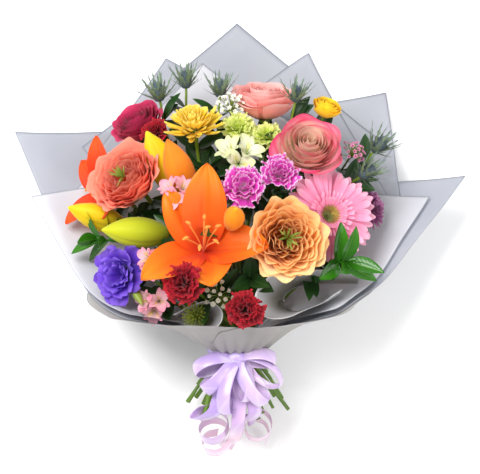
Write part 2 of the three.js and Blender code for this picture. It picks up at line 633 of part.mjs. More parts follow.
// The tails of the bow: each runs through points from the tie's foot and ends in a curl of some turns
// about a line that runs towards `along`.
const TAILS = [
  {
    name: "ribbon_tail_left",
    points: [[-9, -36, 110], [-18, -62, 104], [-25, -84, 98]],
    curl: { centre: [-28, -90, 80], along: [0.08, -0.32, -0.7], radius: 17, turns: 2.25, length: 62 },
  },
  {
    name: "ribbon_tail_middle",
    points: [[1, -38, 112], [3, -68, 106], [1, -98, 98], [-3, -110, 62], [-9, -113, 28], [-13, -117, 9]],
  },
  {
    name: "ribbon_tail_right",
    points: [[9, -36, 110], [14, -62, 104], [20, -84, 98]],
    curl: { centre: [26, -92, 78], along: [-0.05, -0.14, -0.7], radius: 14, turns: 1.6, length: 60 },
  },
];
const TAIL_STEPS = 30;

// A tail's path and the direction of its width, which is level above and lies along the line of the curl.
function tailStrip({ points, curl }) {
  if (!curl) return { points, across: [[1, 0, 0], [1, 0.1, 0], [1, -0.1, 0], [0.9, -0.3, 0]] };
  const axis = new THREE.Vector3(...curl.along).normalize();
  const side = new THREE.Vector3(1, 0, 0).cross(axis).normalize();
  const other = axis.clone().cross(side);
  const count = Math.round(curl.turns * 8);
  const coils = Array.from({ length: count + 1 }, (_, i) => {
    const turn = (2 * Math.PI * i) / 8 - Math.PI / 2;
    return new THREE.Vector3(...curl.centre)
      .addScaledVector(axis, (curl.length * i) / count)
      .addScaledVector(side, curl.radius * Math.cos(turn))
      .addScaledVector(other, curl.radius * Math.sin(turn))
      .toArray();
  });
  const along = axis.toArray();
  return { points: [...points, ...coils], across: [[1, 0, 0], [1, 0, 0], ...Array(8).fill(along)] };
}

function bandSolid(inner, outer, low, high, segments) {
  const section = [[inner, low], [outer, low], [outer, high], [inner, high], [inner, low]];
  const points = section.map(([r, z]) => new THREE.Vector2(r, z));
  const ring = new THREE.LatheGeometry(points, segments).rotateX(Math.PI / 2);
  return solidOf(ring, frameAt(TIE, AXIS));
}

// A loop's path out of the knot, over its bend and back underneath, tilted about its own direction.
function loopStrip({ toward, length, tilt }) {
  const ahead = new THREE.Vector3(...toward).normalize();
  const side = new THREE.Vector3(0, 0, 1).cross(ahead).normalize();
  const up = ahead.clone().cross(side);
  side.applyAxisAngle(ahead, tilt);
  up.applyAxisAngle(ahead, tilt);
  const course = [[0, 0], [0.32, 0.2], [0.74, 0.24], [1, 0.04], [0.84, -0.14], [0.45, -0.13], [0.05, -0.04]];
  const points = course.map(([out, rise]) => {
    return KNOT.clone().addScaledVector(ahead, out * length).addScaledVector(up, rise * length).toArray();
  });
  return { points, across: [side.toArray(), side.toArray()] };
}

function bowSolid(grow) {
  const knot = new THREE.IcosahedronGeometry(1, 1).scale(12 + grow, 8 + grow, 10 + grow);
  const place = new THREE.Matrix4().makeTranslation(...KNOT.toArray());
  const loops = LOOPS.map((loop) => {
    const strip = { width: LOOP_WIDTH + 2 * grow, thickness: RIBBON + 2 * grow, steps: 12 };
    return stripSolid({ ...loopStrip(loop), ...strip });
  });
  return union([solidOf(knot, place), ...loops]);
}

// ---------------------------------------------------------------------------------------------------
// Assembly. Later pieces are cut clear of the pieces already placed, as soft petals give way.
const bouquet = new THREE.Group();
const placed = [];

function addPiece(name, colour, solid, grown, finish = {}) {
  const boundsOf = (piece) => {
    const { min, max } = piece.boundingBox();
    return new THREE.Box3(new THREE.Vector3(...min), new THREE.Vector3(...max));
  };
  const own = boundsOf(solid);
  const near = placed.filter((other) => other.bounds.intersectsBox(own));
  const cleared = near.reduce((left, other) => left.subtract(other.grown), solid);
  const largest = cleared.decompose().reduce((a, b) => (b.volume() > a.volume() ? b : a));
  placed.push({ grown, bounds: boundsOf(grown) });
  const material = new THREE.MeshStandardMaterial({ color: colour, roughness: 0.6, ...finish });
  const mesh = new THREE.Mesh(geometryOf(largest), material);
  mesh.name = name;
  bouquet.add(mesh);
}

const places = placesAtTie(FLOWERS);
FLOWERS.forEach((flower, i) => {
  const [solid, grown] = [0, GAP].map((grow) => flowerSolid(flower, places[i], grow));
  addPiece(flower.name, flower.colour, solid, grown);
});
SHEETS.forEach((sheet, layer) => {
  const [solid, grown] = [0, GAP].map((grow) => sheetSolid(sheet, layer, grow));
  addPiece(sheet.name, sheet.colour, solid, grown, { roughness: 0.45 });
});
for (const { name, ...strip } of ROLLS) {
  const [solid, grown] = [0, 2 * GAP].map((grow) => {
    return stripSolid({ ...strip, thickness: FILM + grow, steps: 16 });
  });
  addPiece(name, 0xe2e1e4, solid, grown, { roughness: 0.45 });
}
const ribbon = { roughness: 0.3 };
const band = [0, GAP].map((grow) => {
  return bandSolid(BAND_INNER - grow, BAND_INNER + RIBBON + grow, -16 - grow, -1 + grow, 24);
});
addPiece("ribbon_band", 0xb9a3e3, band[0], band[1], ribbon);
addPiece("ribbon_bow", 0xc3a9ea, bowSolid(0), bowSolid(GAP), ribbon);
for (const tail of TAILS) {
  const [solid, grown] = [0, 2 * GAP].map((grow) => {
    const sizes = { width: RIBBON_WIDTH + grow, thickness: RIBBON + grow, steps: TAIL_STEPS };
    return stripSolid({ ...tailStrip(tail), ...sizes });
  });
  addPiece(tail.name, 0xdcb4dc, solid, grown, ribbon);
}

// The origin: the middle of the footprint, on the table.
const footprint = new THREE.Box3().setFromObject(bouquet);
const middle = footprint.getCenter(new THREE.Vector3());
for (const mesh of bouquet.children) mesh.geometry.translate(-middle.x, -middle.y, -footprint.min.z);

export default bouquet;
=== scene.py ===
"""A hand-tied garden rose bouquet in a film wrap, lying on its back in a plain studio.

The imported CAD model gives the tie's place. Every bloom, stem, sheet of film and length of ribbon is
then grown from the same few driving sizes as its solid: blooms on a spiral of stems, square sheets
gathered at the tie, and a satin bow over the neck. Lengths are millimetres until a mesh is written.
"""

import logging
import math
from dataclasses import dataclass, field
from enum import Enum
from typing import Callable, Sequence

import bpy
import numpy as np
from mathutils import Matrix, Vector

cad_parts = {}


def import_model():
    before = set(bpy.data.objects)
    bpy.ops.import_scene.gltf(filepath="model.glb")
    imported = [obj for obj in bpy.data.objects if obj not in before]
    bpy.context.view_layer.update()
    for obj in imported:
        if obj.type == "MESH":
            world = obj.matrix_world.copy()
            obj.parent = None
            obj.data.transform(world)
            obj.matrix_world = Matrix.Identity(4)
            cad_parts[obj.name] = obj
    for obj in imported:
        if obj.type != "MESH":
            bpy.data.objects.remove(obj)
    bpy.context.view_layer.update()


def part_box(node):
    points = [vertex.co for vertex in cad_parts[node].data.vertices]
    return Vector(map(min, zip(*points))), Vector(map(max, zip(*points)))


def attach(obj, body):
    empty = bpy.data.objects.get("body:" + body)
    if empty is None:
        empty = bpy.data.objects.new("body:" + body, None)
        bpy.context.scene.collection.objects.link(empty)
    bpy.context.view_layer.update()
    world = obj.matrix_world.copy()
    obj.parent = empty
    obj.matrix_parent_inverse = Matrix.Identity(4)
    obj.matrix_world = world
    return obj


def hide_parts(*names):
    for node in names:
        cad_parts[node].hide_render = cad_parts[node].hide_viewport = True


LOG = logging.getLogger("bouquet")
MM = 0.001
GOLDEN_ANGLE = math.radians(137.508)

FILM_THICKNESS = 0.25
RIBBON_THICKNESS = 0.3

Colour = tuple[float, float, float]
Triple = tuple[float, float, float]
Amount = float | np.ndarray


class Held(Enum):
    """How a sheet is kept in its shape."""

    GATHERED = "gathered"
    FOLDED = "folded"


def dye(code: str) -> Colour:
    """Turns a screen colour such as "f2b173" into scene-linear red, green and blue."""
    parts = [int(code[i : i + 2], 16) / 255 for i in (0, 2, 4)]
    return tuple(p / 12.92 if p <= 0.04045 else ((p + 0.055) / 1.055) ** 2.4 for p in parts)


def between(a: Colour, b: Colour, share: float) -> Colour:
    """Blends two fixed colours."""
    return tuple((1 - share) * x + share * y for x, y in zip(a, b))


def smooth(x: np.ndarray, low: float, high: float) -> np.ndarray:
    """Rises smoothly from 0 at low to 1 at high."""
    share = np.clip((np.asarray(x, float) - low) / (high - low), 0, 1)
    return share * share * (3 - 2 * share)


def lerp(a: Amount, b: Amount, share: Amount) -> Amount:
    """Blends from a to b."""
    return a + (b - a) * share


def shifted(offset: Sequence[float], turn: np.ndarray | None = None) -> np.ndarray:
    """A 4 by 4 matrix that turns by a 3 by 3 matrix, if it is given one, and then moves.

    Args:
        offset: the move.
        turn: the rotation, or None for none.

    Returns:
        The matrix.
    """
    made = np.eye(4)
    if turn is not None:
        made[:3, :3] = turn
    made[:3, 3] = offset
    return made


def looking(at: Sequence[float], look: Vector) -> np.ndarray:
    """A 4 by 4 matrix that takes the origin, facing +Z, to a place, looking along a direction."""
    return shifted(at, np.array(Vector((0, 0, 1)).rotation_difference(look).to_matrix()))


def spline(points: Sequence[Sequence[float]], count: int) -> np.ndarray:
    """Runs a smooth curve through points.

    Args:
        points: the points it passes.
        count: how many samples to return.

    Returns:
        An array of count samples, evenly spread over the curve's parameter.
    """
    p = np.asarray(points, float)
    p = np.vstack([2 * p[0] - p[1], p, 2 * p[-1] - p[-2]])
    where = np.linspace(0, len(p) - 3, count)
    i = np.minimum(where.astype(int), len(p) - 4)
    s = (where - i)[:, None]
    a, b, c, d = p[i], p[i + 1], p[i + 2], p[i + 3]
    return 0.5 * (2 * b + (c - a) * s + (2 * a - 5 * b + 4 * c - d) * s**2 + (3 * b - a - 3 * c + d) * s**3)


# --------------------------------------------------------------------------------------------------
# Shaders


class Channel:
    """A node's output that arithmetic can be written on; each operation adds a Math node."""

    def __init__(self, shade: "Shade", socket: bpy.types.NodeSocket) -> None:
        """Wraps one output socket of a shade's node tree."""
        self.shade = shade
        self.socket = socket

    def _math(self, operation: str, *values: "Channel | float") -> "Channel":
        """Adds one Math node on the given values."""
        return self.shade.node("Math", {"operation": operation}, dict(enumerate(values)))

    def __add__(self, other: "Channel | float") -> "Channel":
        """Sum."""
        return self._math("ADD", self, other)

    def __sub__(self, other: "Channel | float") -> "Channel":
        """Difference."""
        return self._math("SUBTRACT", self, other)

    def __rsub__(self, other: float) -> "Channel":
        """Difference from a number."""
        return self._math("SUBTRACT", other, self)

    def __mul__(self, other: "Channel | float") -> "Channel":
        """Product."""
        return self._math("MULTIPLY", self, other)

    def __pow__(self, other: float) -> "Channel":
        """Power."""
        return self._math("POWER", self, other)

    def __abs__(self) -> "Channel":
        """Absolute value."""
        return self._math("ABSOLUTE", self)

    __radd__ = __add__
    __rmul__ = __mul__

    def over(self, low: float, high: float) -> "Channel":
        """Rises smoothly from 0 at low to 1 at high.

        Args:
            low: where it starts to rise.
            high: where it has risen.

        Returns:
            The share.
        """
        ends = {"From Min": low, "From Max": high}
        settings = {"interpolation_type": "SMOOTHSTEP"}
        return self.shade.node("MapRange", settings, {"Value": self, **ends})

    def either(self, other: "Channel | float") -> "Channel":
        """The larger of the two."""
        return self._math("MAXIMUM", self, other)


class Shade:
    """The node tree of one material, around one Principled shader."""

    def __init__(self, name: str, **constants: float | tuple) -> None:
        """Makes an empty material.

        Args:
            name: the material's name.
            constants: values that are the same all over, by the shader socket's name with _ for spaces.
        """
        self.material = bpy.data.materials.new(name)
        self.material.use_nodes = True
        self.tree = self.material.node_tree
        self.shader = self.tree.nodes["Principled BSDF"]
        for key, value in constants.items():
            self.shader.inputs[key.replace("_", " ")].default_value = value

    def node(
        self, kind: str, settings: dict | None = None, inputs: dict | None = None, output: int | str = 0
    ) -> Channel:
        """Adds a node.

        Args:
            kind: its type, without the ShaderNode prefix.
            settings: properties set before the sockets, with a ramp's (place, colour) pairs as "stops".
            inputs: values or channels, by socket name or number.
            output: the output socket to return.

        Returns:
            The chosen output.
        """
        made = self.tree.nodes.new("ShaderNode" + kind)
        for key, value in (settings or {}).items():
            setattr(made, key, value)
        for key, value in (inputs or {}).items():
            self.feed(made.inputs[key], value)
        return Channel(self, made.outputs[output])

    def feed(self, socket: bpy.types.NodeSocket, value: "Channel | float | tuple") -> None:
        """Links a channel to a socket, or sets the socket's value.

        Args:
            socket: the input socket.
            value: a channel, a number or a colour.
        """
        if isinstance(value, Channel):
            self.tree.links.new(value.socket, socket)
        elif socket.type == "RGBA":
            socket.default_value = (*value, 1)
        else:
            socket.default_value = value

    def set(self, **channels: "Channel | float | tuple") -> None:
        """Feeds shader sockets, by name with _ for spaces."""
        for key, value in channels.items():
            self.feed(self.shader.inputs[key.replace("_", " ")], value)

    def mix(self, share: "Channel | float", a: "Channel | Colour", b: "Channel | Colour") -> Channel:
        """Blends two colours."""
        return self.node("Mix", {"data_type": "RGBA"}, {0: share, 6: a, 7: b}, 2)

    def scaled(self, colour: "Channel | Colour", amount: Channel) -> Channel:
        """Makes a colour lighter or darker by a factor."""
        grey = self.node("CombineXYZ", None, {0: amount, 1: amount, 2: amount})
        return self.node("VectorMath", {"operation": "MULTIPLY"}, {0: colour, 1: grey})

    def patch(self) -> tuple[Channel, Channel, Channel]:
        """Where a point is on its petal: across it from 0 to 1, along it from 0 to 1, and its tint.

        Returns:
            The three channels.
        """
        uv = self.node("UVMap", {"uv_map": "patch"})
        across, along = (self.node("SeparateXYZ", None, {0: uv}, k) for k in ("X", "Y"))
        tint = self.node("Attribute", {"attribute_name": "tint"}, None, "Fac")
        return across, along, tint

    def noise(self, scale: float, at: "Channel | None" = None, detail: float = 3) -> Channel:
        """A cloudy value about 0.5, in the object's own space unless told where."""
        where = at or self.node("TexCoord", None, None, "Object")
        return self.node("TexNoise", None, {"Vector": where, "Scale": scale, "Detail": detail})

    def streaks(self, across: Channel, along: Channel, tint: Channel, count: float) -> Channel:
        """Cloudy streaks that run along a petal, different on each."""
        where = self.node("CombineXYZ", None, {0: across * count, 1: along * 1.6, 2: tint * 37})
        return self.noise(1, where, 2)

    def bump(self, height: Channel, strength: float, depth: float) -> None:
        """Roughens the shading normal by a height in millimetres times depth."""
        inputs = {"Strength": strength, "Distance": depth * MM, "Height": height}
        self.set(Normal=self.node("Bump", None, inputs))

    def glow_through(self, colour: Colour, share: float) -> None:
        """Lets a share of the light through in one colour, as thin tissue does.

        Args:
            colour: the colour of the light that comes through.
            share: how much of it comes through, from 0 to 1.
        """
        thin = self.node("BsdfTranslucent", None, {"Color": colour})
        output = self.tree.nodes["Material Output"]
        both = self.node("MixShader", None, {0: share, 1: Channel(self, self.shader.outputs[0]), 2: thin})
        self.tree.links.new(both.socket, output.inputs["Surface"])


@dataclass(frozen=True)
class Petal:
    """Soft petal tissue, coloured from its foot to its rim."""

    name: str
    foot: str
    body: str
    rim: str
    rim_from: float = 0.72
    rim_to: float = 1.0
    side: float = 0.0
    differ: float = 0.25
    vein: float = 0.3
    through: float = 0.36
    roughness: float = 0.55
    body_from: float = 0.05
    body_to: float = 0.5
    outer: str = ""
    heart: float = 1.0

    def material(self) -> bpy.types.Material:
        """Makes the petal's material, with another body colour for the outer petals if it has one.

        Returns:
            The material.
        """
        shade = Shade(self.name, Roughness=self.roughness, Sheen_Weight=0.15, Specular_IOR_Level=0.3)
        across, along, tint = shade.patch()
        body = dye(self.body)
        if self.outer:
            body = shade.mix(tint.over(0.5, 0.95), body, dye(self.outer))
        colour = shade.mix(along.over(self.body_from, self.body_to), dye(self.foot), body)
        sideways = abs(across * 2 - 1) ** 3 * self.side
        rim = (along + sideways).over(self.rim_from, self.rim_to)
        if self.heart < 1:
            rim = rim * (tint.over(0.05, 0.6) * (1 - self.heart) + self.heart)
        colour = shade.mix(rim, colour, dye(self.rim))
        streaks = shade.streaks(across, along, tint, 26)
        light = 1 + (tint - 0.5) * self.differ + (streaks - 0.5) * self.vein
        colour = shade.scaled(colour, light)
        shade.set(Base_Color=colour)
        shade.bump(streaks, 0.35, 0.5)
        shade.glow_through(between(dye(self.body), dye(self.rim), 0.35), self.through)
        return shade.material


@dataclass(frozen=True)
class Streaked:
    """A pale tepal with a yellow patch and short dark streaks."""

    name: str
    body: str
    rim: str
    patch: str = "f0d45a"
    streak: str = "7a2038"

    def material(self) -> bpy.types.Material:
        """Makes the tepal's material.

        Returns:
            The material.
        """
        shade = Shade(self.name, Roughness=0.5, Sheen_Weight=0.1, Specular_IOR_Level=0.3)
        across, along, tint = shade.patch()
        colour = shade.mix(along.over(0.5, 1.0), dye(self.body), dye(self.rim))
        middle = 1 - abs(across * 2 - 1).over(0.25, 0.75)
        zone = along.over(0.25, 0.4) * (1 - along.over(0.6, 0.78)) * middle
        marked = tint.over(0.45, 0.55)
        colour = shade.mix(zone * marked * 0.8, colour, dye(self.patch))
        where = shade.node("CombineXYZ", None, {0: across * 30, 1: along * 9, 2: tint * 37})
        dashes = shade.noise(1, where, 1).over(0.6, 0.68)
        colour = shade.mix(dashes * zone * marked, colour, dye(self.streak))
        streaks = shade.streaks(across, along, tint, 20)
        colour = shade.scaled(colour, 0.9 + streaks * 0.2)
        shade.set(Base_Color=colour)
        shade.bump(streaks, 0.3, 0.4)
        shade.glow_through(between(dye(self.body), dye(self.rim), 0.4), 0.3)
        return shade.material


@dataclass(frozen=True)
class Leaf:
    """A green leaf, bract or stem, with a paler midrib and side veins."""

    name: str
    body: str
    tip: str
    rib: str
    gloss: float = 0.35
    ribbing: float = 0.5
    through: float = 0.15

    def material(self) -> bpy.types.Material:
        """Makes the leaf's material.

        Returns:
            The material.
        """
        shade = Shade(self.name, Specular_IOR_Level=0.45)
        across, along, tint = shade.patch()
        centre = abs(across * 2 - 1)
        cloud = shade.noise(45)
        colour = shade.mix(along * 0.6 + (cloud - 0.5) * 0.7, dye(self.body), dye(self.tip))
        rib = 1 - centre.over(0.03, 0.1)
        herring = shade.node("Math", {"operation": "SINE"}, {0: (along * 9 + centre * 2.2) * 6.283})
        veins = herring.over(0.86, 1.0) * 0.35
        colour = shade.mix(rib.either(veins) * self.ribbing, colour, dye(self.rib))
        colour = shade.scaled(colour, 0.8 + tint * 0.4)
        shade.set(Base_Color=colour, Roughness=self.gloss + (cloud - 0.5) * 0.25)
        shade.bump(rib + herring * 0.15 + cloud * 0.5, 0.4, 0.4)
        shade.glow_through(between(dye(self.body), dye(self.tip), 0.5), self.through)
        return shade.material


@dataclass(frozen=True)
class Film:
    """Frosted wrapping film with soft creases and a darker cut edge; a rolled sheet has a white rim instead,
    a painted highlight, and painted shade low inside it.
    """

    name: str
    body: str
    shadow: str
    cover: float
    # the cut edge's colour: darker on flat sheets, white on a rolled sheet as a painted highlight
    edge: str = "8f93a0"
    hem: float = 0.994
    # deep: colour of the painted shade low inside a rolled sheet
    deep: str = ""

    def material(self) -> bpy.types.Material:
        """Makes the film's material.

        Returns:
            The material.
        """
        shade = Shade(self.name, Specular_IOR_Level=0.35)
        across, along, _ = shade.patch()
        cloud = shade.noise(9, detail=4)
        colour = shade.mix(cloud.over(0.3, 0.75), dye(self.body), dye(self.shadow))
        # painted shade inside a rolled sheet: darker towards the bottom of its width
        if self.deep:
            colour = shade.mix(across.over(0.2, 0.95), dye(self.deep), colour)
        # the rims and far end: a darker cut edge on flat sheets, a painted highlight on the rolled film
        hem = (self.hem, self.hem + 0.003)
        cut = along.over(*hem).either(abs(across * 2 - 1).over(*hem))
        colour = shade.mix(cut * 0.75, colour, dye(self.edge))
        crease = shade.noise(22, detail=5)
        shade.set(
            Base_Color=colour,
            Roughness=0.34 + cloud * 0.18,
            Alpha=(cut * 0.3 + self.cover + (cloud - 0.5) * 0.08),
        )
        shade.bump(crease + cloud * 2, 0.35, 1.2)
        shade.glow_through(between(dye(self.body), dye(self.shadow), 0.5), 0.4)
        return shade.material


@dataclass(frozen=True)
class Satin:
    """Satin ribbon whose colour drifts along its length, with painted highlight streaks."""

    name: str
    near: str
    far: str

    def material(self) -> bpy.types.Material:
        """Makes the satin's material.

        Returns:
            The material.
        """
        shade = Shade(
            self.name, Sheen_Weight=0.25, Specular_IOR_Level=0.9, Coat_Weight=0.25, Coat_Roughness=0.2
        )
        across, along, tint = shade.patch()
        drift = shade.noise(14, detail=2)
        colour = shade.mix((along * 0.5 + drift).over(0.35, 1.0), dye(self.near), dye(self.far))
        # painted highlight: whitish streaks that stand in for the satin's sheen
        painted_highlight = shade.streaks(along * 0.12, across * 0.5 + along * 2.2, tint, 18).over(0.52, 0.72)
        colour = shade.mix(painted_highlight * 0.75, colour, dye("fbf6ff"))
        selvedge = abs(across * 2 - 1).over(0.86, 0.95)
        colour = shade.scaled(colour, 1 - selvedge * 0.12)
        rib = shade.node("Math", {"operation": "SINE"}, {0: along * 1400})
        shade.set(Base_Color=colour, Roughness=0.26 + drift * 0.12)
        shade.bump(rib * 0.5 + selvedge * 2, 0.15, 0.15)
        shade.glow_through(between(dye(self.near), dye(self.far), 0.4), 0.15)
        return shade.material


class Greens(Enum):
    """The green finishes."""

    RUSCUS = Leaf("ruscus_leaf", "24620e", "3f861a", "7cb048", 0.2, 0.4)
    # very dark green: partly the salal leaves' own colour, partly painted shade in the gaps between blooms
    DARK = Leaf("salal_leaf", "14300f", "27501c", "3c6a2c", 0.4, 0.35, 0.08)
    STEM = Leaf("cut_stem", "56781f", "82992f", "88ac55", 0.42, 0.2, 0.05)
    CALYX = Leaf("calyx", "6d8a2e", "a2b04a", "bcc86a", 0.45, 0.3)
    BRACT = Leaf("sea_holly_bract", "76864a", "62788a", "a8b890", 0.5, 0.4)
    OLIVE = Leaf("lily_leaf", "4a6a20", "6c8c30", "8aa850", 0.35, 0.4)


Finish = Petal | Streaked | Leaf | Film | Satin | Greens
_MATERIALS: dict[str, bpy.types.Material] = {}


def finish_of(finish: Finish) -> bpy.types.Material:
    """The material of a finish, made once.

    Args:
        finish: the finish.

    Returns:
        Its material.
    """
    plain = finish.value if isinstance(finish, Greens) else finish
    if plain.name not in _MATERIALS:
        _MATERIALS[plain.name] = plain.material()
    return _MATERIALS[plain.name]


# --------------------------------------------------------------------------------------------------
# Surfaces


class Surface:
    """Curved patches that are gathered into one mesh."""

    def __init__(self) -> None:
        """Starts with no patches."""
        self.points: list[np.ndarray] = []
        self.quads: list[np.ndarray] = []
        self.patch: list[np.ndarray] = []
        self.tint: list[np.ndarray] = []
        self.count = 0

    def add(self, grids: np.ndarray, tints: np.ndarray | float = 0.5) -> "Surface":
        """Adds patches.

        Args:
            grids: points as (patches, along, across, 3), or one patch without the first axis.
            tints: a value from 0 to 1 for each patch.

        Returns:
            This surface.
        """
        grids = grids if grids.ndim == 4 else grids[None]
        n, rows, cols, _ = grids.shape
        index = np.arange(n * rows * cols).reshape(n, rows, cols) + self.count
        corners = [index[:, :-1, :-1], index[:, :-1, 1:], index[:, 1:, 1:], index[:, 1:, :-1]]
        self.quads.append(np.stack(corners, -1).reshape(-1, 4))
        self.points.append(grids.reshape(-1, 3))
        along, across = np.meshgrid(np.linspace(0, 1, rows), np.linspace(0, 1, cols), indexing="ij")
        self.patch.append(np.tile(np.stack([across, along], -1).reshape(-1, 2), (n, 1)))
        self.tint.append(np.repeat(np.broadcast_to(np.asarray(tints, float), n), rows * cols))
        self.count += n * rows * cols
        return self

    def placed(self, matrix: np.ndarray) -> "Surface":
        """Moves every patch so far by a 4 by 4 matrix."""
        self.points = [p @ matrix[:3, :3].T + matrix[:3, 3] for p in self.points]
        return self

    def join(self, other: "Surface") -> "Surface":
        """Takes in another surface's patches.

        Args:
            other: the surface whose patches are taken.

        Returns:
            This surface.
        """
        self.quads += [q + self.count for q in other.quads]
        self.points += other.points
        self.patch += other.patch
        self.tint += other.tint
        self.count += other.count
        return self

    def area(self) -> float:
        """The area of all patches, in square metres.

        Returns:
            Square metres.
        """
        p = np.vstack(self.points) * MM
        q = np.vstack(self.quads)
        halves = [np.cross(p[q[:, 1]] - p[q[:, 0]], p[q[:, 2]] - p[q[:, 0]])]
        halves.append(np.cross(p[q[:, 2]] - p[q[:, 0]], p[q[:, 3]] - p[q[:, 0]]))
        return float(sum(np.linalg.norm(h, axis=1).sum() / 2 for h in halves))

    def piece(
        self, name: str, finish: Finish, slot: str, replaces: Sequence[str] = (), thick: float = 0
    ) -> bpy.types.Object:
        """Writes the mesh and hangs it on the bouquet.

        Args:
            name: the piece's name.
            finish: what it is made of.
            slot: the record's material slot; not used.
            replaces: CAD nodes that it stands for.
            thick: thickness in millimetres, or 0 for a bare surface.

        Returns:
            The new object.
        """
        points, quads = np.vstack(self.points) * MM, np.vstack(self.quads)
        mesh = bpy.data.meshes.new(name)
        mesh.vertices.add(len(points))
        mesh.vertices.foreach_set("co", points.astype(np.float32).ravel())
        mesh.loops.add(quads.size)
        mesh.loops.foreach_set("vertex_index", quads.astype(np.int32).ravel())
        mesh.polygons.add(len(quads))
        mesh.polygons.foreach_set("loop_start", np.arange(0, quads.size, 4, dtype=np.int32))
        mesh.update(calc_edges=True)
        uv = mesh.uv_layers.new(name="patch")
        uv.data.foreach_set("uv", np.vstack(self.patch)[quads.ravel()].astype(np.float32).ravel())
        tint = mesh.attributes.new("tint", "FLOAT", "POINT")
        tint.data.foreach_set("value", np.concatenate(self.tint).astype(np.float32))
        mesh.polygons.foreach_set("use_smooth", np.ones(len(quads), dtype=bool))
        mesh.materials.append(finish_of(finish))
        mesh.validate()
        made = bpy.data.objects.new(name, mesh)
        bpy.context.scene.collection.objects.link(made)
        if thick:
            solid = made.modifiers.new("thickness", "SOLIDIFY")
            solid.thickness, solid.offset = thick * MM, 0
        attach(made, "root")
        if replaces:
            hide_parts(*replaces)
        LOG.info("%s: %d faces", name, len(quads))
        return made


def blades(
    around: np.ndarray,
    length: np.ndarray | float,
    width: np.ndarray | float,
    lean: np.ndarray | float,
    bend: np.ndarray | float = 0.0,
    foot: tuple[np.ndarray | float, np.ndarray | float] = (0.0, 0.0),
    outline: Callable[[np.ndarray], np.ndarray] = lambda v: np.sin(np.pi * v**0.8) ** 0.8,
    cup: float = 0.0,
    groove: float = 0.0,
    ruffle: float = 0.0,
    waves: float = 3.0,
    teeth: tuple[float, float] = (0.0, 0.0),
    rows: int = 12,
    cols: int = 7,
    seed: int = 1,
) -> np.ndarray:
    """Petals, tepals, rays, leaves or bracts that stand round the +Z axis.

    Args:
        around: each blade's direction round the axis.
        length: its length along its curve.
        width: its greatest width.
        lean: how far its foot leans out from +Z.
        bend: how much further its tip leans than its foot.
        foot: distance of its foot from the axis, and its height.
        outline: share of the width at each share of the length.
        cup: how far its edges rise, as a share of the half width.
        groove: how far its middle sinks, as a share of the half width.
        ruffle: height of the waves at its rim, as a share of the half width.
        waves: how many waves its rim has across.
        teeth: how many teeth its far edge has, and their depth as a share of the length.
        rows: points along.
        cols: points across.
        seed: picks the ruffles.

    Returns:
        Points as (blades, rows, cols, 3).
    """
    rng = np.random.default_rng(seed)
    n = len(around)

    def column(x: Amount) -> np.ndarray:
        """One value for each blade."""
        return np.broadcast_to(np.asarray(x, float), n)[:, None, None]

    around, length, width, lean, bend = map(column, (around, length, width, lean, bend))
    v = np.linspace(0, 1, rows)[None, :, None]
    u = np.linspace(-1, 1, cols)[None, None, :]
    angle = lean + bend * v
    step = 1 / (rows - 1)
    out = np.cumsum(np.sin(angle), axis=1) * step - np.sin(angle) * step / 2 - np.sin(lean) * step / 2
    up = np.cumsum(np.cos(angle), axis=1) * step - np.cos(angle) * step / 2 - np.cos(lean) * step / 2
    count, depth = teeth
    bite = 1 - depth * np.abs(((u + 1) / 2 * count) % 1 - 0.5) * 2 * v**2 if count else 1
    half = width / 2 * np.maximum(outline(v), 0.02)
    phase = rng.uniform(0, 2 * np.pi, (n, 1, 1))
    ripple = ruffle * v**2 * np.sin(waves * np.pi * u + phase) * (0.35 + 0.65 * np.abs(u))
    furrow = groove * np.exp(-((u / 0.18) ** 2)) * np.sin(np.pi * v)
    rise = width / 2 * (cup * u**2 * outline(v) - furrow + ripple)
    radius = column(foot[0]) + length * out * bite - rise * np.cos(angle)
    height = column(foot[1]) + length * up * bite + rise * np.sin(angle)
    sideways = half * u
    x = radius * np.cos(around) - sideways * np.sin(around)
    y = radius * np.sin(around) + sideways * np.cos(around)
    return np.stack(np.broadcast_arrays(x, y, height), -1)


def tubes(paths: np.ndarray, radii: np.ndarray | float, sides: int = 8) -> np.ndarray:
    """Round stalks along paths.

    Args:
        paths: points as (tubes, steps, 3).
        radii: radius, for all or for each step.
        sides: points round each tube.

    Returns:
        Points as (tubes, steps, sides + 1, 3).
    """
    paths = paths if paths.ndim == 3 else paths[None]
    ahead = np.gradient(paths, axis=1)
    ahead /= np.maximum(np.linalg.norm(ahead, axis=2, keepdims=True), 1e-9)
    helper = np.where(np.abs(ahead[..., :1]) < 0.8, [1.0, 0, 0], [0, 1.0, 0])
    side = np.cross(ahead, helper)
    side /= np.linalg.norm(side, axis=2, keepdims=True)
    other = np.cross(ahead, side)
    turn = np.linspace(0, 2 * np.pi, sides + 1)
    radii = np.broadcast_to(np.asarray(radii, float), paths.shape[:2])[..., None, None]
    ring = side[:, :, None] * np.cos(turn)[:, None] + other[:, :, None] * np.sin(turn)[:, None]
    return paths[:, :, None] + ring * radii


def turned(
    profile: Sequence[tuple[float, float]],
    scale: float = 1,
    lobes: int = 0,
    swell: float = 0,
    sides: int = 24,
    steps: int = 20,
) -> np.ndarray:
    """A turned form about +Z through (radius, height) pairs, swelling in lobes.

    Args:
        profile: (radius, height) pairs from the foot up.
        scale: what a profile of 1 comes to, in millimetres.
        lobes: how many times it swells in one turn.
        swell: how far it swells, as a share of its radius.
        sides: points round it.
        steps: points along it.

    Returns:
        Points as (steps, sides + 1, 3).
    """
    line = spline(profile, steps) * scale
    turn = np.linspace(0, 2 * np.pi, sides + 1)
    radius = np.maximum(line[:, :1], 0) * (1 + swell * np.cos(lobes * turn))
    height = np.broadcast_to(line[:, 1:], radius.shape)
    return np.stack([radius * np.cos(turn), radius * np.sin(turn), height], -1)


# --------------------------------------------------------------------------------------------------
# Where things are


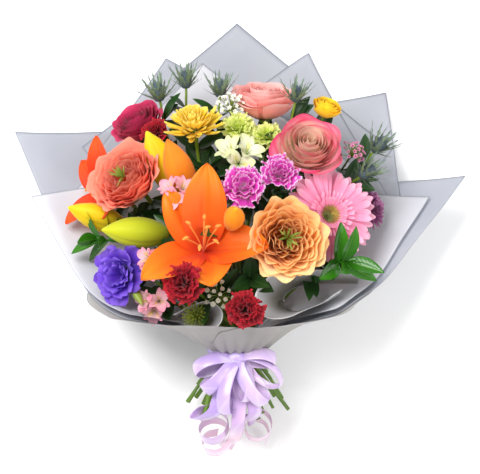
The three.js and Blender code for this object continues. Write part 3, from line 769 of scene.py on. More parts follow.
@dataclass(frozen=True)
class Tie:
    """The tie and the bouquet's axes: right, towards the front collar, and into the flowers."""

    height: float = 82
    rise: float = math.radians(28)
    band: tuple[float, float] = (-16, -1)
    below: float = 82
    spiral_above: float = 0.048
    spiral_below: float = 0.044
    squash: float = 0.74
    bundle: float = 18
    gap: float = 0.35

    @property
    def right(self) -> np.ndarray:
        """To the right."""
        return np.array([1.0, 0, 0])

    @property
    def front(self) -> np.ndarray:
        """Towards the front collar."""
        return np.array([0, -math.sin(self.rise), math.cos(self.rise)])

    @property
    def axis(self) -> np.ndarray:
        """From the tie into the flowers."""
        return np.array([0, math.cos(self.rise), math.sin(self.rise)])

    @property
    def origin(self) -> np.ndarray:
        """The point of the frame that lies below the tie, from the ribbon band's solid."""
        low, high = (np.array(c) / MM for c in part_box("ribbon_band"))
        return (low + high) / 2 - self.axis * sum(self.band) / 2 - [0, 0, self.height]

    def point(self, right: Amount, front: Amount, along: Amount) -> np.ndarray:
        """Points at distances from the tie along the three axes, measured from the origin.

        Args:
            right: distances to the right.
            front: distances towards the front collar.
            along: distances from the tie into the flowers.

        Returns:
            Points, with their coordinates last.
        """
        distances = ((right, self.right), (front, self.front), (along, self.axis))
        parts = [np.asarray(d, float)[..., None] * a for d, a in distances]
        return np.array([0, 0, self.height]) + parts[0] + parts[1] + parts[2]

    def crossings(self, flowers: Sequence["Flower"]) -> np.ndarray:
        """Where each stem passes the tie, with every stem given room in one round bundle.

        Args:
            flowers: the cut flowers, whose stems give way to one another.

        Returns:
            Places to the right and to the front of the tie's middle, one row for each flower.
        """
        blooms = np.array([f.at for f in flowers], float) - [0, 0, self.height]
        along = np.maximum(blooms @ self.axis, 30)
        x, y, turn = blooms @ self.right, blooms @ self.front, self.spiral_above * along
        places = np.stack([x + y * turn, y - x * turn], -1) / (1 + turn**2)[:, None]
        stems = [f.stem for f in flowers]
        rounds = 400
        for step in range(rounds):
            for i in range(len(places)):
                for j in range(i):
                    apart = places[i] - places[j]
                    distance = math.hypot(*apart)
                    short = (stems[i] + stems[j]) * 1.16 + self.gap - distance
                    if short > 0:
                        apart = apart / distance * short / 2
                        places[i] += apart
                        places[j] -= apart
                reach = self.bundle - stems[i]
                distance = math.hypot(*places[i])
                if step < rounds / 2 and distance > reach:
                    places[i] *= reach / distance
        return places

    def stem_path(self, flower: "Flower", place: np.ndarray, steps: int = 40) -> np.ndarray:
        """A stem's centre line from its cut end to its bloom.

        Args:
            flower: the flower on the stem.
            place: where the stem passes the tie, to the right and to the front.
            steps: points along it.

        Returns:
            Points from the cut end up.
        """
        below = self.below * flower.cut
        turn = self.spiral_below * below
        cross = self.point(place[0], place[1], 0)
        foot = self.point(place[0] + place[1] * turn, (place[1] - place[0] * turn) * self.squash, -below)
        foot[2] = max(foot[2], 5)
        top = np.array(flower.at) - flower.facing * flower.neck * flower.radius
        arrive = top - flower.facing * 0.16 * np.linalg.norm(top - cross)
        return spline([foot, (cross + foot) / 2, cross, (cross + arrive) / 2, arrive, top], steps)


# --------------------------------------------------------------------------------------------------
# Blooms


@dataclass
class Flower:
    """A cut flower: a bloom at a place, looking somewhere, on its stem.

    Subclasses grow the bloom at the origin, facing +Z.
    """

    name: str
    at: Triple
    face: Triple
    radius: float
    stem: float
    finish: Finish
    slot: str
    cut: float = 1.0
    seed: int = 1
    neck: float = 0.6

    @property
    def facing(self) -> np.ndarray:
        """The direction the bloom looks in."""
        return np.array(self.face, float) / np.linalg.norm(self.face)

    @property
    def matrix(self) -> np.ndarray:
        """Takes the bloom from the origin to its place from the tie's foot."""
        return looking(self.at, Vector(self.facing))

    @property
    def rng(self) -> np.random.Generator:
        """The flower's own dice."""
        return np.random.default_rng(self.seed + sum(map(ord, self.name)))

    def bloom(self) -> Surface:
        """The coloured part of the bloom."""
        raise NotImplementedError

    def green(self) -> Surface | None:
        """The calyx or other green part of the bloom."""
        return None

    green_finish: Greens = Greens.CALYX

    def build(self, origin: np.ndarray) -> list[bpy.types.Object]:
        """Makes the flower's pieces, with the origin given in the frame.

        Args:
            origin: the frame's point below the tie, in millimetres.

        Returns:
            The pieces.
        """
        place = shifted(origin) @ self.matrix
        pieces = [self.bloom().placed(place).piece(self.name + "_bloom", self.finish, self.slot, [self.name])]
        green = self.green()
        if green is not None:
            pieces.append(green.placed(place).piece(self.name + "_green", self.green_finish, "green_leaf"))
        return pieces


@dataclass
class Rose(Flower):
    """A rose: cupped petals nested round a heart, ruffled and rolled at their rims."""

    petals: int = 46
    heart: float = 0.3
    brim: float = 0.22
    wrap: float = 1.5
    ruffle: float = 0.05
    folds: float = 2.5
    roll: float = 1.0
    eye: float = 0.07
    tuft: bool = False

    def bloom(self) -> Surface:
        """Nests the petals.

        Returns:
            The patches, about the origin and facing +Z.
        """
        rng, r, n = self.rng, self.radius, self.petals
        t = ((np.arange(n) + 0.5) / n)[:, None, None]
        v = np.linspace(0, 1, 15)[None, :, None]
        u = np.linspace(-1, 1, 15)[None, None, :]

        def vary(spread: float) -> np.ndarray:
            """A random value for each petal."""
            return rng.normal(0, spread, (n, 1, 1))

        around = np.arange(n)[:, None, None] * GOLDEN_ANGLE + vary(0.2)
        rim_radius = r * (self.eye + (0.95 - self.eye) * t**0.8) * (1 + vary(0.035))
        rim_height = r * (lerp(self.heart, self.brim, t) + 0.12 * np.sin(np.pi * t) + vary(0.02))
        reach = v * (1 - 0.2 * np.abs(u) ** 3 * (0.5 + t / 2))
        radius = 0.05 * r + (rim_radius - 0.05 * r) * np.sin(np.pi / 2 * reach) ** 0.85
        height = -0.62 * r + (rim_height + 0.62 * r) * reach**1.45
        over = np.clip((reach - 0.66) / 0.34, 0, 1) ** 2 * self.roll * t**1.5
        radius = radius + 0.14 * r * over
        height = height - 0.17 * r * over * (1 + 0.6 * np.sin(2 * u + vary(2)))
        phase = vary(3)
        folds = np.sin(self.folds * np.pi * u + phase) + 0.5 * np.sin(self.folds * 2.3 * u + 2 * phase)
        wobble = self.ruffle * r * reach**2.5 * folds
        radius = np.maximum(radius + wobble, 0.02 * r)
        height = height + 0.5 * wobble * np.cos(2 * np.pi * u + phase)
        spread = lerp(self.wrap, 0.62, t**0.6) * (0.4 + 0.6 * np.sin(np.pi / 2 * np.minimum(v / 0.6, 1)))
        turn = around + spread * u + 0.25 * (1 - t) * v
        grid = np.stack(np.broadcast_arrays(radius * np.cos(turn), radius * np.sin(turn), height), -1)
        return Surface().add(grid, np.clip(t.ravel() + rng.normal(0, 0.12, n), 0, 1))

    def green(self) -> Surface:
        """Sepals under the bloom, and the tuft of an open garden rose's eye.

        Returns:
            The patches, about the origin and facing +Z.
        """
        r = self.radius
        turns = np.arange(5) * 2 * np.pi / 5
        sepals = blades(turns, 0.75 * r, 0.2 * r, 1.5, -0.9, (0.03 * r, -0.66 * r), cup=0.3)
        hip = turned([(0, -0.8), (0.12, -0.74), (0.15, -0.64), (0.1, -0.56)], r, sides=14, steps=8)
        made = Surface().add(sepals, np.linspace(0.2, 0.8, 5)).add(hip)
        if self.tuft:
            rng = self.rng
            n = 26
            tips = blades(
                rng.uniform(0, 2 * np.pi, n),
                rng.uniform(0.22, 0.42, n) * r,
                0.045 * r,
                rng.uniform(0.05, 0.9, n),
                rng.uniform(-0.4, 0.9, n),
                (rng.uniform(0, 0.09, n) * r, 0.08 * r),
                rows=6,
                cols=3,
            )
            made.add(tips, rng.random(n))
        return made


@dataclass
class Carnation(Flower):
    """A carnation: frilled, toothed petals fanned out of a slender calyx."""

    neck: float = 1.1
    petals: int = 28

    def bloom(self) -> Surface:
        """Fans the petals from the calyx's mouth.

        Returns:
            The patches, about the origin and facing +Z.
        """
        rng, r, n = self.rng, self.radius, self.petals
        t = (np.arange(n) + 0.5) / n
        fans = blades(
            np.arange(n) * GOLDEN_ANGLE + rng.normal(0, 0.25, n),
            r * lerp(0.98, 1.12, t) * (1 + rng.normal(0, 0.06, n)),
            r * lerp(0.75, 1.15, t),
            lerp(0.02, 0.5, t**0.8),
            lerp(0.15, 1.5, t**1.1) + rng.normal(0, 0.12, n),
            (0.05 * r, -0.52 * r),
            outline=lambda v: 0.16 + 0.84 * v**1.7,
            ruffle=0.26,
            waves=2.1,
            teeth=(6, 0.08),
            rows=11,
            cols=22,
            seed=self.seed,
        )
        return Surface().add(fans, rng.random(n))

    def green(self) -> Surface:
        """The calyx."""
        profile = [(0, -1.22), (0.16, -1.16), (0.22, -0.9), (0.26, -0.55), (0.3, -0.36)]
        return Surface().add(turned(profile, self.radius, 5, 0.05, sides=20, steps=12))


@dataclass
class Chrysanthemum(Flower):
    """A chrysanthemum: many narrow petals that curve up round a low dome."""

    neck: float = 0.42
    petals: int = 150
    incurve: float = -0.9
    plump: float = 0.2

    def bloom(self) -> Surface:
        """Sets the petals round the dome.

        Returns:
            The patches, about the origin and facing +Z.
        """
        rng, r, n = self.rng, self.radius, self.petals
        t = (np.arange(n) + 0.5) / n
        rays = blades(
            np.arange(n) * GOLDEN_ANGLE + rng.normal(0, 0.08, n),
            r * lerp(0.3, 0.72, t**0.8) * (1 + rng.normal(0, 0.06, n)),
            r * lerp(0.12, self.plump, t),
            lerp(0.2, 1.75, t**0.9) + rng.normal(0, 0.08, n),
            self.incurve * lerp(0.6, 1.0, t) + rng.normal(0, 0.15, n),
            (0.38 * r * t, r * lerp(0.16, -0.2, t)),
            outline=lambda v: np.sin(np.pi * (0.12 + 0.8 * v)) ** 0.6,
            cup=0.55,
            rows=9,
            cols=5,
        )
        return Surface().add(rays, rng.random(n))

    def green(self) -> Surface:
        """The green cup under the petals."""
        return Surface().add(turned([(0, -0.46), (0.2, -0.42), (0.36, -0.24), (0.34, -0.16)], self.radius))


@dataclass
class Gerbera(Flower):
    """A gerbera: long rays in two rings, two short inner rings and a domed eye.

    Each ring is a count, a length in radii and a lean.
    """

    neck: float = 0.2
    rings: tuple = ((30, 0.84, 1.5), (30, 0.78, 1.36), (34, 0.36, 1.05), (38, 0.24, 0.8))
    eye_finish: Petal = Petal("gerbera_eye", "5e7a22", "c2b04a", "f0b8c4", differ=0.6)

    def bloom(self) -> Surface:
        """Sets the rays.

        Returns:
            The patches, about the origin and facing +Z.
        """
        rng, r = self.rng, self.radius
        made = Surface()
        for row, (n, length, lean) in enumerate(self.rings):
            inner = row > 1
            rays = blades(
                (np.arange(n) + 0.5 * row) * 2 * np.pi / n + rng.normal(0, 0.03, n),
                r * length * (1 + rng.normal(0, 0.035, n)),
                r * (0.06 if inner else 0.155),
                lean + rng.normal(0, 0.05, n),
                rng.normal(0.12, 0.1, n),
                ((0.15 if inner else 0.13) * r, (0.03 if inner else -0.03) * r),
                outline=lambda v: np.minimum(0.45 + 0.7 * v, 1) * (
                    1 - np.clip((v - 0.84) / 0.16, 0, 1) ** 2 * 0.75
                ),
                cup=0.25,
                groove=0.18,
                rows=12,
                cols=7,
            )
            made.add(rays, rng.random(n))
        return made

    def green(self) -> Surface:
        """The bracts under the rays.

        Returns:
            The patches, about the origin and facing +Z.
        """
        r = self.radius
        turns = np.arange(16) * 2 * np.pi / 16
        made = Surface().add(
            blades(turns, 0.34 * r, 0.08 * r, 1.2, 0.3, (0.05 * r, -0.2 * r), rows=6, cols=3)
        )
        return made.add(turned([(0, -0.26), (0.1, -0.22), (0.18, -0.1)], r, sides=14, steps=6))

    def build(self, origin: np.ndarray) -> list[bpy.types.Object]:
        """Adds the eye's florets to the rays and bracts.

        Args:
            origin: the frame's point below the tie, in millimetres.

        Returns:
            The pieces.
        """
        pieces = super().build(origin)
        rng, r, n = self.rng, self.radius, 130
        t = (np.arange(n) + 0.5) / n
        florets = blades(
            np.arange(n) * GOLDEN_ANGLE,
            r * lerp(0.05, 0.14, t),
            0.035 * r,
            lerp(0.1, 0.8, t),
            0.2,
            (0.17 * r * np.sqrt(t), r * lerp(0.06, 0.0, t)),
            cup=0.6,
            rows=4,
            cols=3,
        )
        eye = Surface().add(florets, rng.random(n)).placed(shifted(origin) @ self.matrix)
        pieces.append(eye.piece(self.name + "_eye", self.eye_finish, self.slot))
        return pieces


@dataclass
class Lisianthus(Flower):
    """A lisianthus: broad, soft, wavy petals wrapped into a ruffled bell."""

    neck: float = 0.85

    def bloom(self) -> Surface:
        """Wraps the petals.

        Returns:
            The patches, about the origin and facing +Z.
        """
        rng, r, n = self.rng, self.radius * 0.95, 17
        t = (np.arange(n) + 0.5) / n
        petals = blades(
            np.arange(n) * GOLDEN_ANGLE,
            r * lerp(1.15, 1.5, t),
            r * lerp(0.8, 1.3, t),
            lerp(0.05, 0.4, t),
            lerp(0.3, 1.35, t**1.3),
            (0.06 * r, -0.8 * r),
            outline=lambda v: 0.16 + 0.84 * np.sin(np.pi / 2 * v**1.5) * (
                1 - 0.5 * np.clip((v - 0.8) / 0.2, 0, 1) ** 2
            ),
            cup=0.35,
            ruffle=0.16,
            waves=2.4,
            rows=14,
            cols=19,
            seed=5,
        )
        return Surface().add(petals, rng.random(n))

    def green(self) -> Surface:
        """Narrow sepals and a bud beside the bloom.

        Returns:
            The patches, about the origin and facing +Z.
        """
        r = self.radius
        turns = np.arange(5) * 2 * np.pi / 5
        made = Surface().add(
            blades(turns, 0.9 * r, 0.09 * r, 0.5, 0.5, (0.04 * r, -0.95 * r), rows=8, cols=3)
        )
        bud = Surface().add(turned([(0, -0.3), (0.14, -0.1), (0.15, 0.15), (0, 0.6)], r, 3, 0.08))
        lie = np.array(Matrix.Rotation(1.25, 3, Vector((0.75, 0.66, 0)).normalized()))
        return made.join(bud.placed(shifted([0.62 * r, -0.75 * r, -0.1 * r], lie)))


@dataclass
class Lily(Flower):
    """A lily: six recurved tepals, six stamens and a pistil.

    Each tepal is degrees round, degrees of lean, and its length and width in radii.
    """

    neck: float = 0.1
    tepals: tuple = (
        (86, 52, 1.24, 0.52),
        (129, 58, 1.0, 0.5),
        (218, 70, 1.12, 0.46),
        (280, 66, 0.8, 0.62),
        (351, 68, 1.0, 0.52),
        (42, 84, 0.72, 0.4),
    )
    stamen_finish: Petal = Petal("lily_stamen", "e8642a", "f08a34", "f4b350", through=0.1)

    def bloom(self) -> Surface:
        """Grows the tepals.

        Returns:
            The patches, about the origin and facing +Z.
        """
        rng, r = self.rng, self.radius
        around, lean, length, width = np.array(self.tepals, float).T
        recurve = 0.62
        grid = blades(
            np.radians(around),
            r * length * 1.03,
            r * width * 1.16,
            np.radians(lean) - recurve * 0.62,
            recurve * 1.15,
            outline=lambda v: np.sin(np.pi * np.clip(v, 0, 1)) ** 0.7 * 0.97 + 0.14 * (1 - v),
            cup=0.22,
            groove=0.2,
            ruffle=0.1,
            waves=2,
            rows=30,
            cols=17,
            seed=self.seed,
        )
        return Surface().add(grid, rng.random(6))

    def build(self, origin: np.ndarray) -> list[bpy.types.Object]:
        """Adds the stamens and the pistil to the tepals.

        Args:
            origin: the frame's point below the tie, in millimetres.

        Returns:
            The pieces.
        """
        pieces = super().build(origin)
        r, rng = self.radius, self.rng
        made = Surface()
        for i in range(7):
            turn, tilt = i * np.pi / 3 + 0.4, (0.42 if i < 6 else 0.12)
            out = np.array([math.cos(turn), math.sin(turn), 0])
            rise = np.array([0, 0, 1.0])
            height = 0.56 * r if i < 6 else 0.64 * r
            middle = out * height * tilt * 0.35 + rise * height * 0.5
            path = spline([out * 0, middle, out * height * tilt + rise * height], 10)
            made.add(tubes(path, 0.011 * r if i < 6 else 0.017 * r), 0.4)
            half = out * 0.05 * r
            anther = spline([path[-1] - half, path[-1] + rise * 0.02 * r, path[-1] + half], 7)
            made.add(tubes(anther, 0.026 * r * np.sin(np.linspace(0.3, 2.84, 7))), 1.0)
        made.placed(shifted(origin) @ self.matrix)
        pieces.append(made.piece(self.name + "_stamens", self.stamen_finish, self.slot))
        return pieces


@dataclass
class LilyBud(Flower):
    """A closed lily bud: a three-sided spindle with seams between its tepals."""

    neck: float = 0.95

    def bloom(self) -> Surface:
        """Turns the bud.

        Returns:
            The patches, about the origin and facing +Z.
        """
        profile = [(0, -1.0), (0.2, -0.94), (0.37, -0.62), (0.45, -0.18), (0.41, 0.26), (0.27, 0.64)]
        profile += [(0.13, 0.88), (0.05, 1.01), (0, 1.05)]
        grid = turned(profile, self.radius, 3, 0.055, sides=48, steps=36)
        turn = np.arctan2(grid[..., 1], grid[..., 0])
        ends = np.sin(np.pi * np.linspace(0, 1, 36))[:, None] ** 0.5
        seam = np.exp(-((np.abs(np.cos(1.5 * turn)) / 0.12) ** 2)) * ends
        grid[..., :2] *= (1 - 0.07 * seam)[..., None]
        return Surface().add(grid, 0.5)


@dataclass
class Alstroemeria(Flower):
    """Three alstroemeria trumpets on short stalks, each with six tepals."""

    neck: float = 1.15

    def _places(self) -> list[np.ndarray]:
        """Matrices of the three trumpets.

        Returns:
            One 4 by 4 matrix for each trumpet.
        """
        r = self.radius
        made = []
        for i in range(3):
            turn = 2 * np.pi * i / 3 + 0.5
            centre = Vector((math.cos(turn) * 0.5 * r, math.sin(turn) * 0.5 * r, 0))
            made.append(looking(centre, Vector((centre.x, centre.y, 0.9 * r)).normalized()))
        return made

    def bloom(self) -> Surface:
        """Grows the trumpets.

        Returns:
            The patches, about the origin and facing +Z.
        """
        r, rng = self.radius, self.rng
        made = Surface()
        for place in self._places():
            tepals = Surface()
            for inner in (0, 1):
                turns = (np.arange(3) + 0.5 * inner) * 2 * np.pi / 3 + rng.uniform(0, 1)
                grid = blades(
                    turns,
                    r * (1.02 if inner else 1.08),
                    r * (0.36 if inner else 0.58),
                    0.12,
                    1.15 + rng.normal(0, 0.12, 3),
                    (0.04 * r, -0.62 * r),
                    outline=lambda v: 0.2 + 0.8 * np.sin(np.pi * np.clip(v, 0, 1) ** 1.5) ** 0.8,
                    cup=0.35,
                    ruffle=0.1,
                    rows=14,
                    cols=9,
                    seed=int(rng.integers(99)),
                )
                tepals.add(grid, rng.uniform(0.6, 1, 3) if inner else rng.uniform(0, 0.4, 3))
            made.join(tepals.placed(place))
        return made

    def green(self) -> Surface:
        """Stalks, ovaries and stamens.

        Returns:
            The patches, about the origin and facing +Z.
        """
        r = self.radius
        made = Surface()
        for place in self._places():
            foot = place[:3, 3] - place[:3, 2] * 0.6 * r
            path = spline(
                [[0, 0, -1.2 * r], (foot + [0, 0, -1.2 * r]) / 2 + place[:3, 0] * 0.04 * r, foot], 8
            )
            made.add(tubes(path, 1.1), 0.5)
            ovary = Surface().add(
                turned([(0, -0.74), (0.1, -0.66), (0.09, -0.56)], r, sides=10, steps=6), 0.7
            )
            turns = np.arange(6) * np.pi / 3
            ovary.add(blades(turns, 0.75 * r, 0.03 * r, 0.1, 0.5, (0.02 * r, -0.55 * r), rows=6, cols=3), 0.9)
            made.join(ovary.placed(place))
        return made


@dataclass
class SeaHolly(Flower):
    """A sea holly: a prickly thimble over whorls of spiny bracts.

    Each whorl is a count, a length and a width in radii, and a lean.
    """

    neck: float = 0.3
    whorls: tuple = ((7, 1.45, 0.46, 0.8), (6, 1.3, 0.4, 0.45), (8, 0.9, 0.26, 1.2))
    green_finish: Greens = Greens.BRACT

    def bloom(self) -> Surface:
        """The thimble with its florets.

        Returns:
            The patches, about the origin and facing +Z.
        """
        r, rng = self.radius, self.rng
        thimble = turned([(0, -0.34), (0.2, -0.26), (0.27, 0.06), (0.19, 0.38), (0, 0.48)], r)
        made = Surface().add(thimble, 0.3)
        n = 150
        t = (np.arange(n) + 0.5) / n
        height = lerp(0.47, -0.22, t)
        girth = 0.27 * np.sqrt(np.clip(1 - ((height - 0.03) / 0.48) ** 2, 0.02, 1))
        prickles = blades(
            np.arange(n) * GOLDEN_ANGLE,
            0.15 * r,
            0.06 * r,
            lerp(0.1, 1.5, t),
            -0.5,
            (girth * r, height * r),
            outline=lambda v: 1 - v**1.5,
            cup=0.5,
            rows=4,
            cols=3,
        )
        return made.add(prickles, rng.random(n))

    def green(self) -> Surface:
        """The spiny bracts.

        Returns:
            The patches, about the origin and facing +Z.
        """
        r, rng = self.radius, self.rng
        made = Surface()
        for row, (n, length, width, lean) in enumerate(self.whorls):
            grid = blades(
                np.pi / 2 + (np.arange(n) + 0.5 * row) * 2 * np.pi / n + rng.normal(0, 0.1, n),
                length * r,
                width * r,
                lean + rng.normal(0, 0.12, n),
                -0.3,
                (0.06 * r, -0.28 * r),
                outline=lambda v: (
                    0.3 + 0.7 * np.abs(((v * 4.5) % 1) - 0.4) ** 1.3 * 2
                ) * (1 - v**1.6) + 0.04,
                cup=0.35,
                rows=28,
                cols=5,
            )
            made.add(grid, rng.random(n))
        return made


class Head(Enum):
    """What a spray carries."""

    STAR = "five-petalled stars"
    PUFF = "round puffs"
    GRAIN = "crowded grains"


@dataclass
class Spray(Flower):
    """A branching spray of small flowers."""

    neck: float = 1.0
    head: Head = Head.STAR
    count: int = 26
    size: float = 0.26

    def _tips(self) -> np.ndarray:
        """Where the small flowers are.

        Returns:
            Points, about the origin and facing +Z.
        """
        i = np.arange(self.count)
        rng = np.random.default_rng(self.seed)
        reach = 0.92 * self.radius * np.sqrt((i + 0.5) / self.count)
        turn = i * GOLDEN_ANGLE
        dome = 0.4 - 0.75 * (reach / self.radius) ** 2
        height = self.radius * dome + rng.normal(0, 0.12 * self.radius, self.count)
        return np.stack([reach * np.cos(turn), reach * np.sin(turn), height], -1)

    def bloom(self) -> Surface:
        """Sets a small flower on every tip.

        Returns:
            The patches, about the origin and facing +Z.
        """
        rng = self.rng
        made = Surface()
        for tip in self._tips():
            s = self.size * self.radius * rng.uniform(0.8, 1.15)
            look = Vector((tip[0], tip[1], self.radius)) + Vector(rng.normal(0, 5, 3))
            place = looking(tip, look.normalized())
            if self.head is Head.STAR:
                turns = np.arange(5) * 2 * np.pi / 5 + rng.uniform(0, 1)
                small = blades(
                    turns, 0.6 * s, 0.5 * s, 1.0, 0.3, (0.06 * s, 0),
                    outline=lambda v: np.sin(np.pi * (0.1 + 0.82 * v)) ** 0.7, cup=0.4, rows=5, cols=5,
                )
                made.join(Surface().add(small, rng.random(5)).placed(place))
            else:
                n = 22 if self.head is Head.PUFF else 9
                wide = 0.5 if self.head is Head.PUFF else 0.28
                turns = np.arange(n) * GOLDEN_ANGLE
                lean = np.linspace(0.1, 1.9, n)
                small = blades(
                    turns, 0.55 * s, wide * s, lean, -0.3, (0.03 * s, 0), ruffle=0.3, rows=4, cols=4,
                    seed=int(rng.integers(99)),
                )
                made.join(Surface().add(small, rng.random(n)).placed(place))
        return made

    def green(self) -> Surface:
        """The branching stalks.

        Returns:
            The patches, about the origin and facing +Z.
        """
        root = np.array([0, 0, -1.05 * self.radius])
        paths = np.stack(
            [spline([root, root * 0.45 + tip * [0.25, 0.25, 0.3], tip], 8) for tip in self._tips()]
        )
        return Surface().add(tubes(paths, 0.5, 5), 0.4)


@dataclass
class Foliage(Flower):
    """A leafy tip, with its leaves round a twig."""

    neck: float = 0.45
    leaves: int = 8
    broad: float = 0.4

    def bloom(self) -> Surface:
        """Sets the leaves round the twig.

        Returns:
            The patches, about the origin and facing +Z.
        """
        r, rng = self.radius, self.rng
        made = Surface()
        for k in range(self.leaves):
            lean = math.radians(80 - 8 * (k % 6))
            grid = blades(
                np.array([np.pi / 2 + k * 2.1]),
                0.97 * r,
                self.broad * r,
                lean - 0.22,
                0.44,
                (0.0, (0.08 * (k % 6) - 0.3) * r),
                outline=lambda v: np.sin(np.pi * v**0.85) ** 0.85,
                cup=0.3,
                groove=0.2,
                ruffle=0.04,
                rows=22,
                cols=9,
                seed=k,
            )
            made.add(grid, rng.random())
        twig = spline([[0, 0, -0.5 * r], [0.02 * r, 0, 0], [0, 0, 0.5 * r]], 8)
        return made.add(tubes(twig, np.linspace(1.3, 0.6, 8)), 0.5)


# --------------------------------------------------------------------------------------------------
# Greenery between the blooms, and the stems


@dataclass
class Stems:
    """The cut stems, crossing at the tie, with paler cut faces."""

    tie: Tie
    flowers: Sequence[Flower]
    origin: np.ndarray

    def build(self) -> list[bpy.types.Object]:
        """Makes the stems and the leaves that fill the gaps between blooms.

        Returns:
            The pieces.
        """
        places = self.tie.crossings(self.flowers)
        stalks, filler = Surface(), Surface()
        rng = np.random.default_rng(11)
        shift = shifted(self.origin)
        for flower, place in zip(self.flowers, places):
            path = self.tie.stem_path(flower, place)
            steps = np.linspace(0, 1, len(path))
            nodes = 1 + 0.14 * np.exp(-(((steps * 7 + rng.random()) % 1 - 0.5) / 0.06) ** 2)
            stalks.add(tubes(path, flower.stem * nodes * lerp(1.04, 0.92, steps)), rng.random())
            face = flower.stem * np.linspace(1.04, 0.02, 4)
            ends = np.repeat(path[:1], 4, axis=0) + (path[0] - path[1]) * np.linspace(0, 0.02, 4)[:, None]
            stalks.add(tubes(ends, face), 1.0)
            filler.join(self._leaves(path, flower, rng))
        made = [stalks.placed(shift).piece("stems", Greens.STEM, "green_leaf")]
        made.append(filler.placed(shift).piece("stem_leaves", Greens.DARK, "green_leaf"))
        return made

    def _leaves(self, path: np.ndarray, flower: Flower, rng: np.random.Generator) -> Surface:
        """A few dark leaves on the upper part of a stem, their very dark green partly painted shade between
        the blooms.

        Args:
            path: the stem's centre line.
            flower: the flower on the stem.
            rng: the dice.

        Returns:
            The leaves' patches.
        """
        made = Surface()
        for share in (0.74, 0.82, 0.89):
            at = path[int(share * (len(path) - 1))]
            if at[1] < 34:
                continue
            place = looking(at, Vector(flower.facing * 0.7 + [0, 0, 0.6]).normalized())
            turns = rng.uniform(0, 2 * np.pi, 2)
            grid = blades(
                turns, rng.uniform(26, 42, 2), rng.uniform(13, 19, 2), rng.uniform(0.5, 1.1, 2), 0.3,
                cup=0.25, groove=0.2, rows=10, cols=5,
            )
            made.join(Surface().add(grid, rng.random(2)).placed(place))
        return made


# --------------------------------------------------------------------------------------------------
# The wrap


@dataclass(frozen=True)
class Cone:
    """The cone that every sheet of the wrap lies on, and how it opens round the axis."""

    tie: Tie
    neck: float = 21.5
    below: float = 16
    flare: float = 20
    layer: float = 0.85
    layers: int = 11
    settle: float = 4
    bulge: float = 12
    opening: tuple = (
        (-180, 43), (-160, 42), (-140, 48), (-120, 56), (-105, 66), (-90, 75), (-75, 75), (-60, 72),
        (-30, 64), (0, 58), (30, 63), (60, 68), (75, 67.5), (90, 66), (105, 61.5), (120, 56.5), (140, 49),
        (160, 41), (180, 43),
    )

    def open_at(self, angle: np.ndarray) -> np.ndarray:
        """How far the cone opens at angles in degrees, as radians.

        Args:
            angle: angles round the axis from the front, in degrees.

        Returns:
            Angles between the axis and the film.
        """
        keys = np.array(self.opening, float)
        turns = len(keys) - 1
        wrapped = (np.asarray(angle, float) + 180) % 360 - 180
        after = np.clip(np.searchsorted(keys[:, 0], wrapped), 1, turns)
        s = (wrapped - keys[after - 1, 0]) / (keys[after, 0] - keys[after - 1, 0])

        def value(k: np.ndarray) -> np.ndarray:
            """The opening at a key."""
            return keys[k % turns, 1]

        start = (value(after) - value(after - 2)) / 2
        end = (value(after + 1) - value(after - 1)) / 2
        made = (2 * s**3 - 3 * s**2 + 1) * value(after - 1) + (s**3 - 2 * s**2 + s) * start
        return np.radians(made + (3 * s**2 - 2 * s**3) * value(after) + (s**3 - s**2) * end)

    def points(self, layer: float, angle: np.ndarray, distance: np.ndarray) -> np.ndarray:
        """Points of a layer at angles and distances up from the tie.

        Args:
            layer: the layer, counted from the inside.
            angle: angles round the axis from the front, in degrees.
            distance: distances up from the tie along the film.

        Returns:
            Points measured from the origin.
        """
        opening = self.open_at(angle)
        up = np.maximum(distance, 0)
        out = up**2 / (up + self.flare)
        slope = (up**2 + 2 * up * self.flare) / (up + self.flare) ** 2
        rise = np.stack([slope * np.sin(opening), 1 - slope + slope * np.cos(opening)], -1)
        rise /= np.linalg.norm(rise, axis=-1, keepdims=True)
        turn = np.radians(angle)
        offset = layer * self.layer + self.pleats(turn, distance) + self.belly(layer, angle, distance)
        radius = self.neck + out * np.sin(opening) + offset * rise[..., 1]
        along = distance - out + out * np.cos(opening) - offset * rise[..., 0]
        made = self.tie.point(radius * np.sin(turn), radius * np.cos(turn), along)
        floor = (self.layers - layer - 0.5) * self.layer
        z = (made[..., 2] - floor) / self.settle
        made[..., 2] = floor + self.settle * np.logaddexp(0, z)
        return made

    def belly(self, layer: float, angle: np.ndarray, distance: np.ndarray) -> np.ndarray:
        """How far a layer hangs out in front of the neck, as only the two outer layers do.

        Args:
            layer: the layer, counted from the inside.
            angle: angles round the axis from the front, in degrees.
            distance: distances up from the tie along the film.

        Returns:
            Distances out from the layer's plain cone.
        """
        front = 1 - smooth(np.abs(angle), 45, 90)
        swell = np.sin(np.pi * np.sqrt(np.clip(distance / 80, 0, 1)))
        return self.bulge * front * swell * (layer >= self.layers - 2)

    def pleats(self, turn: np.ndarray, distance: np.ndarray) -> np.ndarray:
        """Gathers at the neck that die out, and slow waves further up, shared by all sheets.

        Args:
            turn: angles round the axis, in radians.
            distance: distances up from the tie along the film.

        Returns:
            Distances out from the plain cone.
        """
        gathers = 1.5 * np.exp(-((distance / 60) ** 2)) * np.sin(23 * turn + 2 * np.sin(3 * turn))
        waves = np.sin(5 * turn + 1.1) + 0.5 * np.sin(11 * turn + distance / 45)
        return gathers + 2.2 * smooth(distance, 40, 220) * waves


